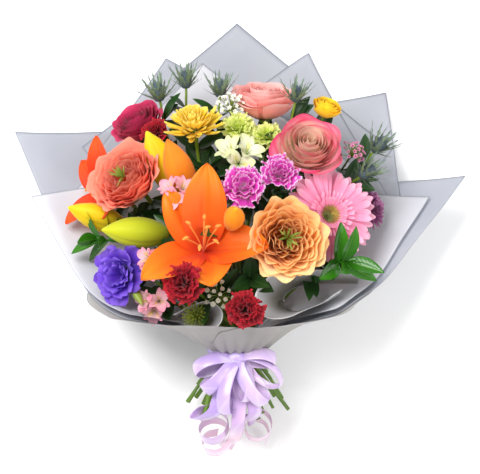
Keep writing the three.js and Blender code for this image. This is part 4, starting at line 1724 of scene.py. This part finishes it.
@dataclass
class Sheet:
    """A square sheet of film gathered at the tie, one corner of it pointing away, or a collar with a rim.

    tip is the corner's angle and distance; corner the degrees between the line to the tie and the two
    edges; span the angles it covers. A collar's rim passes through (angle, distance) pairs.
    """

    name: str
    layer: int
    finish: Film
    slot: str
    tip: tuple[float, float] = (0, 0)
    corner: tuple[float, float] = (45, 45)
    span: tuple[float, float] = (0, 0)
    rim: tuple = ()

    def reach(self, cone: Cone, angle: np.ndarray) -> np.ndarray:
        """How far up from the tie the sheet reaches at angles.

        Args:
            cone: the cone of the wrap.
            angle: angles round the axis from the front, in degrees.

        Returns:
            Distances from the tie.
        """
        if self.rim:
            keys = np.array(self.rim, float)
            after = np.clip(np.searchsorted(keys[:, 0], angle), 1, len(keys) - 1)
            share = smooth((angle - keys[after - 1, 0]) / (keys[after, 0] - keys[after - 1, 0]), 0, 1)
            return lerp(keys[after - 1, 1], keys[after, 1], share)
        unrolled = np.sin(cone.open_at(np.array(self.tip[0])))
        away = np.radians(np.abs(angle - self.tip[0])) * unrolled
        edge = np.radians(np.where(angle < self.tip[0], *self.corner))
        return self.tip[1] * np.sin(edge) / np.sin(np.pi - edge - away)

    def build(self, cone: Cone, origin: np.ndarray) -> bpy.types.Object:
        """Makes the sheet on the cone.

        Args:
            cone: the cone of the wrap.
            origin: the frame's point below the tie, in millimetres.

        Returns:
            The piece.
        """
        low, high = (self.rim[0][0], self.rim[-1][0]) if self.rim else self.span
        middle = self.tip[0] if self.tip[1] else (low + high) / 2
        angle = np.concatenate([np.linspace(low, middle, 45)[:-1], np.linspace(middle, high, 45)])
        reach = self.reach(cone, angle)
        share = (np.linspace(0, 1, 60) ** 1.25)[:, None]
        distance = -cone.below + (reach + cone.below) * share
        points = cone.points(self.layer, np.broadcast_to(angle, distance.shape), distance)
        surface = Surface().add(points + origin)
        made = surface.piece(self.name + "_sheet", self.finish, self.slot, [self.name], thick=FILM_THICKNESS)
        self.unrolled(cone, angle, reach)
        surface.area()
        return made

    def unrolled(self, cone: Cone, angle: np.ndarray, reach: np.ndarray) -> tuple[float, float]:
        """Width and length, in metres, of the film that the sheet is cut from, with the cone laid flat.

        Args:
            cone: the cone of the wrap.
            angle: angles round the axis from the front, in degrees.
            reach: how far up the sheet reaches at each angle.

        Returns:
            The width and the length.
        """
        opening = np.sin(cone.open_at(angle))
        turn = np.concatenate([[0], np.cumsum(np.radians(np.diff(angle)) * (opening[1:] + opening[:-1]) / 2)])
        turn -= np.interp(self.tip[0] if self.tip[1] else angle.mean(), angle, turn)
        side, up = (reach + cone.below) * np.sin(turn), (reach + cone.below) * np.cos(turn)
        return float(np.ptp(side)) * MM, float(up.max() - min(0, up.min())) * MM


@dataclass
class Strip:
    """A strip of film or ribbon through points, with its width along `across`, or away from an apex."""

    name: str
    finish: Film | Satin
    slot: str
    width: float
    points: Sequence[Triple]
    across: Sequence[Triple] = ()
    apex: Triple = (0, 0, 0)
    replaces: Sequence[str] = ()
    held: Held = Held.GATHERED
    bow: float = 0.0
    steps: int = 90

    def build(self, origin: np.ndarray) -> bpy.types.Object:
        """Makes the strip.

        Args:
            origin: the frame's point below the tie, in millimetres.

        Returns:
            The piece.
        """
        line = spline(self.points, self.steps)
        sides = np.array(self.across, float) if self.across else np.array(self.points) - self.apex
        lean = spline(sides / np.linalg.norm(sides, axis=1, keepdims=True), self.steps)
        ahead = np.gradient(line, axis=0)
        ahead /= np.linalg.norm(ahead, axis=1, keepdims=True)
        lean -= ahead * (lean * ahead).sum(1, keepdims=True)
        lean /= np.linalg.norm(lean, axis=1, keepdims=True)
        out = np.cross(ahead, lean)
        u = np.linspace(-1, 1, 13)[None, :, None]
        grid = line[:, None] + lean[:, None] * u * self.width / 2 + out[:, None] * self.bow * (1 - u**2)
        surface = Surface().add(grid + origin)
        made = surface.piece(self.name, self.finish, self.slot, self.replaces, thick=FILM_THICKNESS)
        length = surface.area() / (self.width * MM)
        self.width * MM
        return made


# --------------------------------------------------------------------------------------------------
# The studio


@dataclass
class Studio:
    """A pale floor, soft lights and the camera that looks down on the bouquet."""

    origin: np.ndarray
    elevation: float = 80
    distance: float = 2200
    width: float = 536
    target: Triple = (3.5, 111, 100)

    def build(self) -> None:
        """Sets up floor, lights and camera."""
        self._floor()
        self._camera()
        self._lights()

    def _floor(self) -> None:
        """A large, pale, matt floor."""
        mesh = bpy.data.meshes.new("floor")
        s = 4.0
        mesh.from_pydata([(-s, -s, 0), (s, -s, 0), (s, s, 0), (-s, s, 0)], [], [(0, 1, 2, 3)])
        floor = bpy.data.objects.new("floor", mesh)
        shade = Shade("floor", Roughness=0.9, Specular_IOR_Level=0.1)
        shade.set(Base_Color=dye("fbfbfb"))
        mesh.materials.append(shade.material)
        bpy.context.scene.collection.objects.link(floor)
        floor.location.z = -0.0005

    def _camera(self) -> None:
        """The camera, level with the bouquet's long side."""
        data = bpy.data.cameras.new("camera")
        data.lens = data.sensor_width * self.distance / self.width
        data.clip_end = 20
        camera = bpy.data.objects.new("camera", data)
        tilt = math.radians(self.elevation)
        back = Vector((0, -math.cos(tilt), math.sin(tilt)))
        target = Vector((self.origin + self.target) * MM)
        camera.location = target + back * self.distance * MM
        camera.rotation_mode = "QUATERNION"
        camera.rotation_quaternion = (-back).to_track_quat("-Z", "Y")
        bpy.context.scene.collection.objects.link(camera)
        bpy.context.scene.camera = camera

    def _lights(self) -> None:
        """One broad key, a fill from the other side, and an even surround."""
        world = bpy.data.worlds.new("studio")
        world.use_nodes = True
        world.node_tree.nodes["Background"].inputs[0].default_value = (1, 1, 1, 1)
        world.node_tree.nodes["Background"].inputs[1].default_value = 0.62
        bpy.context.scene.world = world
        bpy.context.scene.view_settings.view_transform = "Standard"
        for name, place, size, power in (
            ("key", (-0.7, 0.5, 1.8), 1.0, 44),
            ("fill", (1.2, -0.7, 1.6), 1.4, 20),
        ):
            data = bpy.data.lights.new(name, "AREA")
            data.size, data.energy = size, power
            lamp = bpy.data.objects.new(name, data)
            lamp.location = place
            lamp.rotation_mode = "QUATERNION"
            lamp.rotation_quaternion = (-Vector(place)).to_track_quat("-Z", "Y")
            bpy.context.scene.collection.objects.link(lamp)


# --------------------------------------------------------------------------------------------------
# The bouquet


def flowers() -> list[Flower]:
    """Every cut flower, in the order in which the stems were gathered.

    Returns:
        The flowers.
    """
    yellow = Petal("yellow_bud_skin", "9cac20", "f8da18", "fce63c", body_to=0.45)
    # the red frills' feet are near-black: partly the carnation's deep red, partly painted shade deep in the
    # bloom
    red = Petal("red_frill", "3c0410", "8c0a20", "c01c2c", rim_from=0.8, differ=0.4)
    magenta = Petal("magenta_frill", "fbe8f4", "d636b4", "f8d4f0", rim_from=0.9, body_from=0.3, body_to=0.75)
    lime = Petal("lime_frill", "a4c430", "d8e860", "f2f4a8")
    pink_streaked = Streaked("pink_tepal", "f4c4cc", "f2a0b8")
    holly = Petal("thimble", "4a5a4c", "6d7c86", "8f9cb8", differ=0.8)
    return [
        Rose(
            "peach_garden_rose", (54, 95, 185), (0.15, -0.1, 1), 43, 2.8,
            Petal("peach", "f08c24", "fbb45a", "fdd898", rim_from=0.78, side=0.12, outer="fbdcb0"),
            "peach_petal", petals=50, ruffle=0.06, folds=2.2, eye=0.16, tuft=True, heart=0.16,
        ),
        Rose(
            "coral_garden_rose", (-123, 170, 140), (-0.45, 0.3, 0.85), 42, 2.8,
            Petal("coral", "dc3a12", "f4744a", "f9a48c", rim_from=0.78, side=0.1, outer="f5a08c"),
            "coral_petal", petals=52, ruffle=0.05, folds=2.4, eye=0.17, tuft=True, heart=0.2,
        ),
        Rose(
            "pink_white_rose", (80, 203, 155), (0.1, 0.4, 0.9), 39, 2.7,
            Petal(
                "pink_white", "f8e4a0", "fdf5d2", "dc2e6c", rim_from=0.76, rim_to=1.0, side=0.16,
                outer="ea86a8", heart=0.3,
            ),
            "pink_white_petal", petals=34, ruffle=0.02, folds=1.4, wrap=2.4, eye=0.04, heart=0.34, brim=0.12,
            roll=1.3,
        ),
        Rose(
            "pale_pink_rose", (32, 268, 108), (0.05, 0.85, 0.5), 38, 2.7,
            Petal("pale_pink", "f2a884", "f4a49c", "f9c4be"), "pale_pink_petal", petals=34, ruffle=0.025,
            wrap=2.0, roll=1.2,
        ),
        Rose(
            "crimson_rose", (-112, 242, 100), (-0.4, 0.6, 0.65), 32, 2.5,
            Petal("crimson", "64082a", "b01648", "d23c6c", differ=0.35, outer="c8285a"), "crimson_petal",
            petals=36, ruffle=0.03, wrap=2.2, roll=1.2,
        ),
        Lily(
            "orange_lily", (-36, 84, 160), (-0.02, 0.32, 0.95), 78, 3,
            # orange-red at the tepals' feet: partly the lily's own deeper throat, partly painted shade in it
            Petal(
                "orange_tepal", "d8380c", "f5680e", "fb8f1c", rim_from=0.5, vein=0.16, differ=0.2,
                roughness=0.42,
            ),
            "orange_tepal",
        ),
        Gerbera(
            "pink_gerbera", (101, 126, 152), (0.3, 0.08, 0.95), 54, 2.6,
            Petal("gerbera_ray", "e06a9c", "f49cbe", "f9bcd2"), "pink_ray",
        ),
        Chrysanthemum(
            "yellow_chrysanthemum", (-47, 229, 148), (-0.1, 0.7, 0.7), 34, 2.3,
            Petal("yellow_ray", "c89c10", "f8d83c", "fcee84", differ=0.3), "yellow_petal",
        ),
        Lisianthus(
            "purple_lisianthus", (-128, 63, 137), (-0.5, -0.15, 0.85), 30, 1.8,
            Petal("violet", "3c1690", "6434c4", "9068e4", differ=0.3), "violet_petal",
        ),
        Carnation(
            "magenta_carnation_left", (7, 151, 188), (0, 0.25, 0.97), 25, 1.8, magenta, "magenta_petal"
        ),
        Carnation(
            "magenta_carnation_right", (47, 168, 180), (0.1, 0.35, 0.93), 22, 1.8, magenta, "magenta_petal",
            cut=0.8,
        ),
        Carnation("red_carnation_left", (-58, 44, 200), (-0.3, 0.02, 0.95), 23, 1.8, red, "red_petal"),
        Carnation("red_carnation_front", (9, 17, 187), (0.06, -0.15, 1), 21, 1.8, red, "red_petal", cut=0.85),
        Carnation(
            "lime_carnation_left", (1, 231, 130), (0, 0.55, 0.83), 20, 1.7, lime, "lime_petal", cut=0.7
        ),
        Carnation(
            "lime_carnation_right", (33, 221, 128), (0.05, 0.5, 0.86), 19, 1.7, lime, "lime_petal", cut=0.75
        ),
        Carnation(
            "crimson_carnation", (-91, 225, 132), (-0.3, 0.4, 0.86), 16, 1.6, red, "red_petal", cut=0.6
        ),
        LilyBud(
            "orange_lily_bud", (-64, 176, 163), (-0.3, 0.72, 0.62), 36, 2.1,
            Petal("orange_bud_skin", "c8a020", "f7941e", "f57a14", body_to=0.5), "orange_bud",
        ),
        LilyBud(
            "yellow_lily_bud_far", (-83, 189, 132), (-0.42, 0.8, 0.42), 38, 2.1, yellow, "yellow_bud",
            cut=0.8,
        ),
        LilyBud(
            "yellow_lily_bud_left", (-110, 108, 150), (-0.95, 0, 0.3), 37, 2.1,
            Petal("yellow_green_bud_skin", "84a01c", "d4d822", "e8e23a", body_to=0.7), "yellow_bud",
        ),
        LilyBud(
            "yellow_lily_bud_low", (-156, 133, 108), (-0.92, 0.25, 0.3), 33, 2, yellow, "yellow_bud", cut=0.7
        ),
        LilyBud(
            "amber_lily_bud", (-3, 115, 196), (0.1, 0.2, 0.97), 25, 1.7,
            Petal("amber_bud_skin", "d0a81c", "fba81c", "fccc2c", body_to=0.5), "amber_bud", cut=0.8,
        ),
        Lily(
            "scarlet_lily", (-138, 160, 92), (-0.62, 0.28, 0.73), 56, 2.6,
            Petal("scarlet_tepal", "b8180c", "f03c10", "f8601c", rim_from=0.5, differ=0.15), "scarlet_tepal",
        ),
        Rose(
            "yellow_ranunculus", (101, 255, 122), (0.3, 0.7, 0.6), 19, 1.6,
            Petal("ranunculus", "d09808", "fbce08", "fde23c", differ=0.25), "yellow_petal", cut=0.7,
            petals=34, ruffle=0.02, wrap=2.0, heart=0.35, brim=0.1, roll=0.5,
        ),
        Chrysanthemum(
            "purple_chrysanthemum", (149, 144, 106), (0.75, 0.2, 0.6), 25, 1.9,
            Petal("plum_ray", "5a2048", "94467e", "c084ac"), "plum_petal", incurve=-0.3,
        ),
        Alstroemeria(
            "white_alstroemeria", (2, 192, 166), (0, 0.3, 0.95), 26, 2,
            Streaked("white_tepal", "f4f4dc", "dfe8b0", "e8e48a", "6a3040"), "white_tepal",
        ),
        Alstroemeria(
            "pink_alstroemeria_far", (-66, 148, 181), (-0.2, 0.3, 0.93), 20, 1.8, pink_streaked, "rose_tepal",
            cut=0.8,
        ),
        Alstroemeria(
            "pink_alstroemeria_near", (-91, 72, 174), (-0.35, 0, 0.93), 19, 1.8, pink_streaked, "rose_tepal",
            cut=0.9,
        ),
        Alstroemeria(
            "pink_alstroemeria_low", (-92, 28, 146), (-0.35, -0.3, 0.88), 20, 1.8, pink_streaked,
            "rose_tepal", cut=0.6,
        ),
        SeaHolly(
            "sea_holly_far_left", (-88, 271, 116), (-0.2, 0.9, 0.35), 26, 1.5, holly, "sea_holly", cut=0.9
        ),
        SeaHolly(
            "sea_holly_far_middle", (-58, 290, 98), (-0.05, 0.95, 0.3), 24, 1.5, holly, "sea_holly", cut=0.7
        ),
        SeaHolly(
            "sea_holly_far_right", (-19, 276, 112), (0.05, 0.93, 0.35), 24, 1.5, holly, "sea_holly", cut=0.8
        ),
        SeaHolly("sea_holly_middle", (66, 262, 143), (0.2, 0.85, 0.5), 22, 1.5, holly, "sea_holly", cut=0.6),
        SeaHolly("sea_holly_right", (158, 213, 104), (0.6, 0.7, 0.4), 25, 1.5, holly, "sea_holly", cut=0.9),
        SeaHolly(
            "sea_holly_near_right", (142, 177, 132), (0.7, 0.45, 0.55), 24, 1.5, holly, "sea_holly", cut=0.7
        ),
        Spray(
            "white_waxflower", (-6, 258, 130), (0, 0.65, 0.76), 19, 1.3,
            Petal("white_star", "dfe0b8", "f8f7f0", "fbfbf8", differ=0.15), "white_blossom", cut=0.6,
        ),
        Spray(
            "pink_waxflower", (131, 204, 128), (0.4, 0.5, 0.76), 16, 1.3,
            Petal("pink_star", "8c3a5c", "e08cb4", "f0b4d0"), "pink_blossom", cut=0.6,
        ),
        Spray(
            "gypsophila", (-20, 36, 168), (-0.1, -0.1, 0.98), 17, 1.2,
            Petal("white_puff", "d8dca8", "f4f3e4", "fbfaf2", differ=0.15), "white_blossom", cut=0.5,
            head=Head.PUFF, count=14, size=0.3,
        ),
        Spray(
            "goldenrod", (-46, 14, 160), (-0.25, -0.25, 0.93), 16, 1.3,
            Petal("goldenrod", "6c7a22", "98a034", "c0b83c"), "goldenrod", cut=0.5, head=Head.GRAIN, count=60,
            size=0.16,
        ),
        Foliage(
            "ruscus_right", (116, 72, 168), (0.55, -0.05, 0.82), 46, 1.5, Greens.RUSCUS, "green_leaf",
            cut=0.9,
        ),
        Foliage(
            "ruscus_left", (-150, 105, 118), (-0.9, 0.05, 0.35), 40, 1.5, Greens.RUSCUS, "green_leaf",
            cut=0.8,
        ),
        Foliage(
            "salal_front", (14, 56, 150), (0.1, -0.1, 0.97), 34, 1.6, Greens.DARK, "green_leaf", cut=0.7,
            broad=0.5,
        ),
        Foliage(
            "salal_far", (-30, 180, 118), (-0.1, 0.6, 0.75), 38, 1.6, Greens.DARK, "green_leaf", cut=0.8,
            broad=0.5,
        ),
    ]


def sheets() -> list[Sheet]:
    """The wrap's sheets from the inside out.

    Returns:
        The sheets.
    """
    milky = Film("milky_film", "efeff2", "e0e0e6", 0.9)
    grey = Film("grey_film", "cbcdd4", "bcbfc8", 0.9)
    warm = Film("collar_film", "d2cfcc", "bbb9b4", 0.96)
    return [
        Sheet("tissue_left", 0, milky, "white_film", (-110, 276), (46, 24), (-170, -60)),
        Sheet("tissue_right", 1, milky, "white_film", (110, 262), (26, 46), (60, 170)),
        Sheet("tissue_back", 2, milky, "white_film", (-170, 340), (45, 45), (-230, -110)),
        Sheet("film_back_left", 3, grey, "grey_film", (-160, 352), (47, 42), (-210, -130)),
        Sheet("film_back_right", 4, grey, "grey_film", (160, 358), (34, 42), (110, 210)),
        Sheet("film_back", 5, grey, "grey_film", (180, 391), (46, 46), (130, 230)),
        Sheet("film_right_upper", 6, grey, "grey_film", (140, 347), (31, 44), (110, 190)),
        Sheet("film_left", 7, grey, "grey_film", (-120, 347), (48, 19), (-170, -60)),
        Sheet("film_right", 8, grey, "grey_film", (110, 311), (20, 37), (60, 160)),
        Sheet(
            "collar_left", 9, warm, "grey_film",
            rim=((-130, 110), (-110, 150), (-90, 166), (-70, 146), (-40, 104), (0, 78), (20, 74)),
        ),
        Sheet(
            "collar_right", 10, warm, "grey_film",
            rim=((-30, 44), (-10, 72), (10, 82), (40, 104), (70, 136), (90, 158), (120, 100)),
        ),
    ]


def strips() -> list[Strip]:
    """The rolled film edges inside the collars.

    Returns:
        The strips.
    """
    # the white rims are a painted highlight, and "77746a" is painted shade low inside the roll
    rolled = Film("rolled_film", "dadadc", "bcbcc0", 0.97, "ffffff", 0.9, "77746a")
    return [
        Strip(
            "film_roll_right_sheet",
            rolled,
            "white_film",
            46,
            [
                (134, 60, 138), (98, 60, 139), (66, 58, 140), (46, 50, 141), (36, 36, 140), (42, 24, 139),
                (62, 21, 138), (92, 30, 136), (112, 42, 134),
            ],
            apex=(118, 46, 62),
            replaces=["film_roll_right"],
            held=Held.FOLDED,
        ),
        Strip(
            "film_roll_left_sheet",
            rolled,
            "white_film",
            34,
            [
                (-66, 17, 138), (-50, 24, 141), (-36, 26, 142), (-25, 19, 142), (-28, 9, 140), (-44, 6, 138),
                (-58, 8, 136),
            ],
            apex=(-66, 16, 78),
            replaces=["film_roll_left"],
            held=Held.FOLDED,
        ),
    ]


@dataclass
class Tail:
    """A tail of the bow: it runs through points and may end in a curl, drawn in equal steps of turn.

    A curl is a centre, the direction of its line, its radius, its turns and its length.
    """

    name: str
    points: tuple
    curl: tuple = ()
    width: float = 15
    step: float = math.pi / 4

    def build(self, origin: np.ndarray) -> bpy.types.Object:
        """Makes the tail.

        Args:
            origin: the frame's point below the tie, in millimetres.

        Returns:
            The piece.
        """
        points = [np.array(p, float) for p in self.points]
        across = [(1, 0, 0), (1, 0.1, 0), (1, -0.1, 0), (0.9, -0.3, 0)]
        if self.curl:
            centre, line, radius, turns, length = self.curl
            axis = np.array(line) / np.linalg.norm(line)
            side = np.cross([1, 0, 0], axis)
            side /= np.linalg.norm(side)
            other = np.cross(axis, side)
            count = round(turns * 2 * math.pi / self.step)
            for i in range(count + 1):
                turn = self.step * i - math.pi / 2
                coil = side * math.cos(turn) + other * math.sin(turn)
                points.append(np.array(centre) + axis * length * i / count + coil * radius)
            across = [(1, 0, 0), (1, 0, 0), *[tuple(axis)] * 8]
        satin = Satin("pink_satin", "c0a4e8", "f2c8de")
        name = self.name.replace("ribbon_", "satin_")
        strip = Strip(
            name, satin, "pink_ribbon", self.width, points, across, replaces=[self.name], bow=0.6, steps=160
        )
        return strip.build(origin)


def tails() -> list[Tail]:
    """The three tails.

    Returns:
        The tails.
    """
    return [
        Tail(
            "ribbon_tail_left",
            ((-9, -36, 110), (-18, -62, 104), (-25, -84, 98)),
            ((-28, -90, 80), (0.08, -0.32, -0.7), 17, 2.25, 62),
        ),
        Tail(
            "ribbon_tail_middle",
            ((1, -38, 112), (3, -68, 106), (1, -98, 98), (-3, -110, 62), (-9, -113, 28), (-13, -117, 9)),
        ),
        Tail(
            "ribbon_tail_right",
            ((9, -36, 110), (14, -62, 104), (20, -84, 98)),
            ((26, -92, 78), (-0.05, -0.14, -0.7), 14, 1.6, 60),
        ),
    ]


@dataclass
class Bow:
    """The bow's knot, as a place and half sizes, and its loops, each a direction, a length and a tilt."""

    knot: Triple = (0, -26, 110)
    ball: Triple = (12, 8.4, 10)
    width: float = 16
    loops: tuple = (
        ((-1, -0.3, 0), 48, 0.5),
        ((-0.75, -0.75, 0), 50, -0.3),
        ((-0.2, -1, 0), 62, 0.4),
        ((0.2, -1, 0), 48, -0.8),
        ((0.55, -0.9, 0), 58, 0.5),
        ((0.9, -0.55, 0), 56, -1.0),
        ((1, -0.05, 0.1), 42, -0.5),
    )
    course: tuple = (
        (0, 0), (0.32, 0.2), (0.74, 0.24), (1, 0.04), (0.84, -0.14), (0.45, -0.13), (0.05, -0.04),
    )

    def strips(self) -> list[Strip]:
        """One strip of satin for each loop, out of the knot, over its bend and back underneath.

        Returns:
            The strips.
        """
        satin = Satin("lilac_satin", "ab8ee4", "ecd2f0")
        made = []
        for k, (toward, length, tilt) in enumerate(self.loops):
            ahead = np.array(toward, float) / np.linalg.norm(toward)
            side = np.cross([0, 0, 1], ahead)
            side /= np.linalg.norm(side)
            up = np.cross(ahead, side)
            cosine, sine = math.cos(tilt), math.sin(tilt)
            side, up = side * cosine + up * sine, up * cosine - side * sine
            course = np.array(self.course)[..., None]
            points = self.knot + ahead * course[:, 0] * length + up * course[:, 1] * length
            across = [tuple(side)] * 2
            made.append(
                Strip(f"bow_loop_{k + 1}", satin, "lilac_ribbon", self.width, points, across, bow=1.5)
            )
        made[0].replaces = ["ribbon_bow"]
        return made

    def build(self, origin: np.ndarray) -> list[bpy.types.Object]:
        """Makes the loops and the knot.

        Args:
            origin: the frame's point below the tie, in millimetres.

        Returns:
            The pieces.
        """
        made = [strip.build(origin) for strip in self.strips()]
        turn = np.linspace(0, 2 * np.pi, 33)[None, :]
        rise = np.linspace(-np.pi / 2, np.pi / 2, 17)[:, None]
        folds = 1 + 0.06 * np.sin(9 * rise + 2 * np.sin(turn))
        wide, deep, tall = self.ball
        level = np.cos(rise) * folds
        ball = [wide * level * np.cos(turn), deep * level * np.sin(turn), tall * np.sin(rise) + 0 * turn]
        grid = np.stack(ball, -1) + self.knot + origin
        knot = Surface().add(grid).piece("bow_knot", Satin("knot_satin", "9c80de", "c6acee"), "lilac_ribbon")
        return made + [knot]


@dataclass
class Bouquet:
    """The whole bouquet."""

    tie: Tie = field(default_factory=Tie)

    def build(self) -> np.ndarray:
        """Builds every piece and returns the frame's point below the tie.

        Returns:
            The frame's point below the tie, in millimetres.
        """
        origin = self.tie.origin
        blooms = flowers()
        Stems(self.tie, blooms, origin).build()
        for flower in blooms:
            flower.build(origin)
        cone = Cone(self.tie)
        for sheet in sheets():
            sheet.build(cone, origin)
        for strip in strips():
            strip.build(origin)
        Bow().build(origin)
        for tail in tails():
            tail.build(origin)
        self._band(cone, origin)
        return origin

    def _band(self, cone: Cone, origin: np.ndarray) -> None:
        """Wraps the satin band round the neck.

        Args:
            cone: the cone of the wrap.
            origin: the frame's point below the tie, in millimetres.
        """
        turn = np.linspace(-np.pi, np.pi, 97)
        radius = cone.neck + cone.layers * cone.layer + 1.6
        low, high = self.tie.band
        along = np.linspace(low, high, 9)[:, None]
        ring = radius + 0.4 * np.sin(15 * turn) + 0.3 * np.sin(along * 1.2 + 3 * turn)
        grid = self.tie.point(ring * np.sin(turn), ring * np.cos(turn), along + 0 * turn)
        surface = Surface().add(grid + origin)
        satin = Satin("band_satin", "a88be6", "cdb4ee")
        made = surface.piece("neck_band", satin, "lilac_ribbon", ["ribbon_band"], thick=RIBBON_THICKNESS)
        width = (high - low) * MM
        surface.area() / width


def main() -> None:
    """Builds the bouquet and the studio."""
    logging.basicConfig(level=logging.INFO, format="%(name)s: %(message)s")
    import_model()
    origin = Bouquet().build()
    Studio(origin).build()


if __name__ == "__main__":
    main()
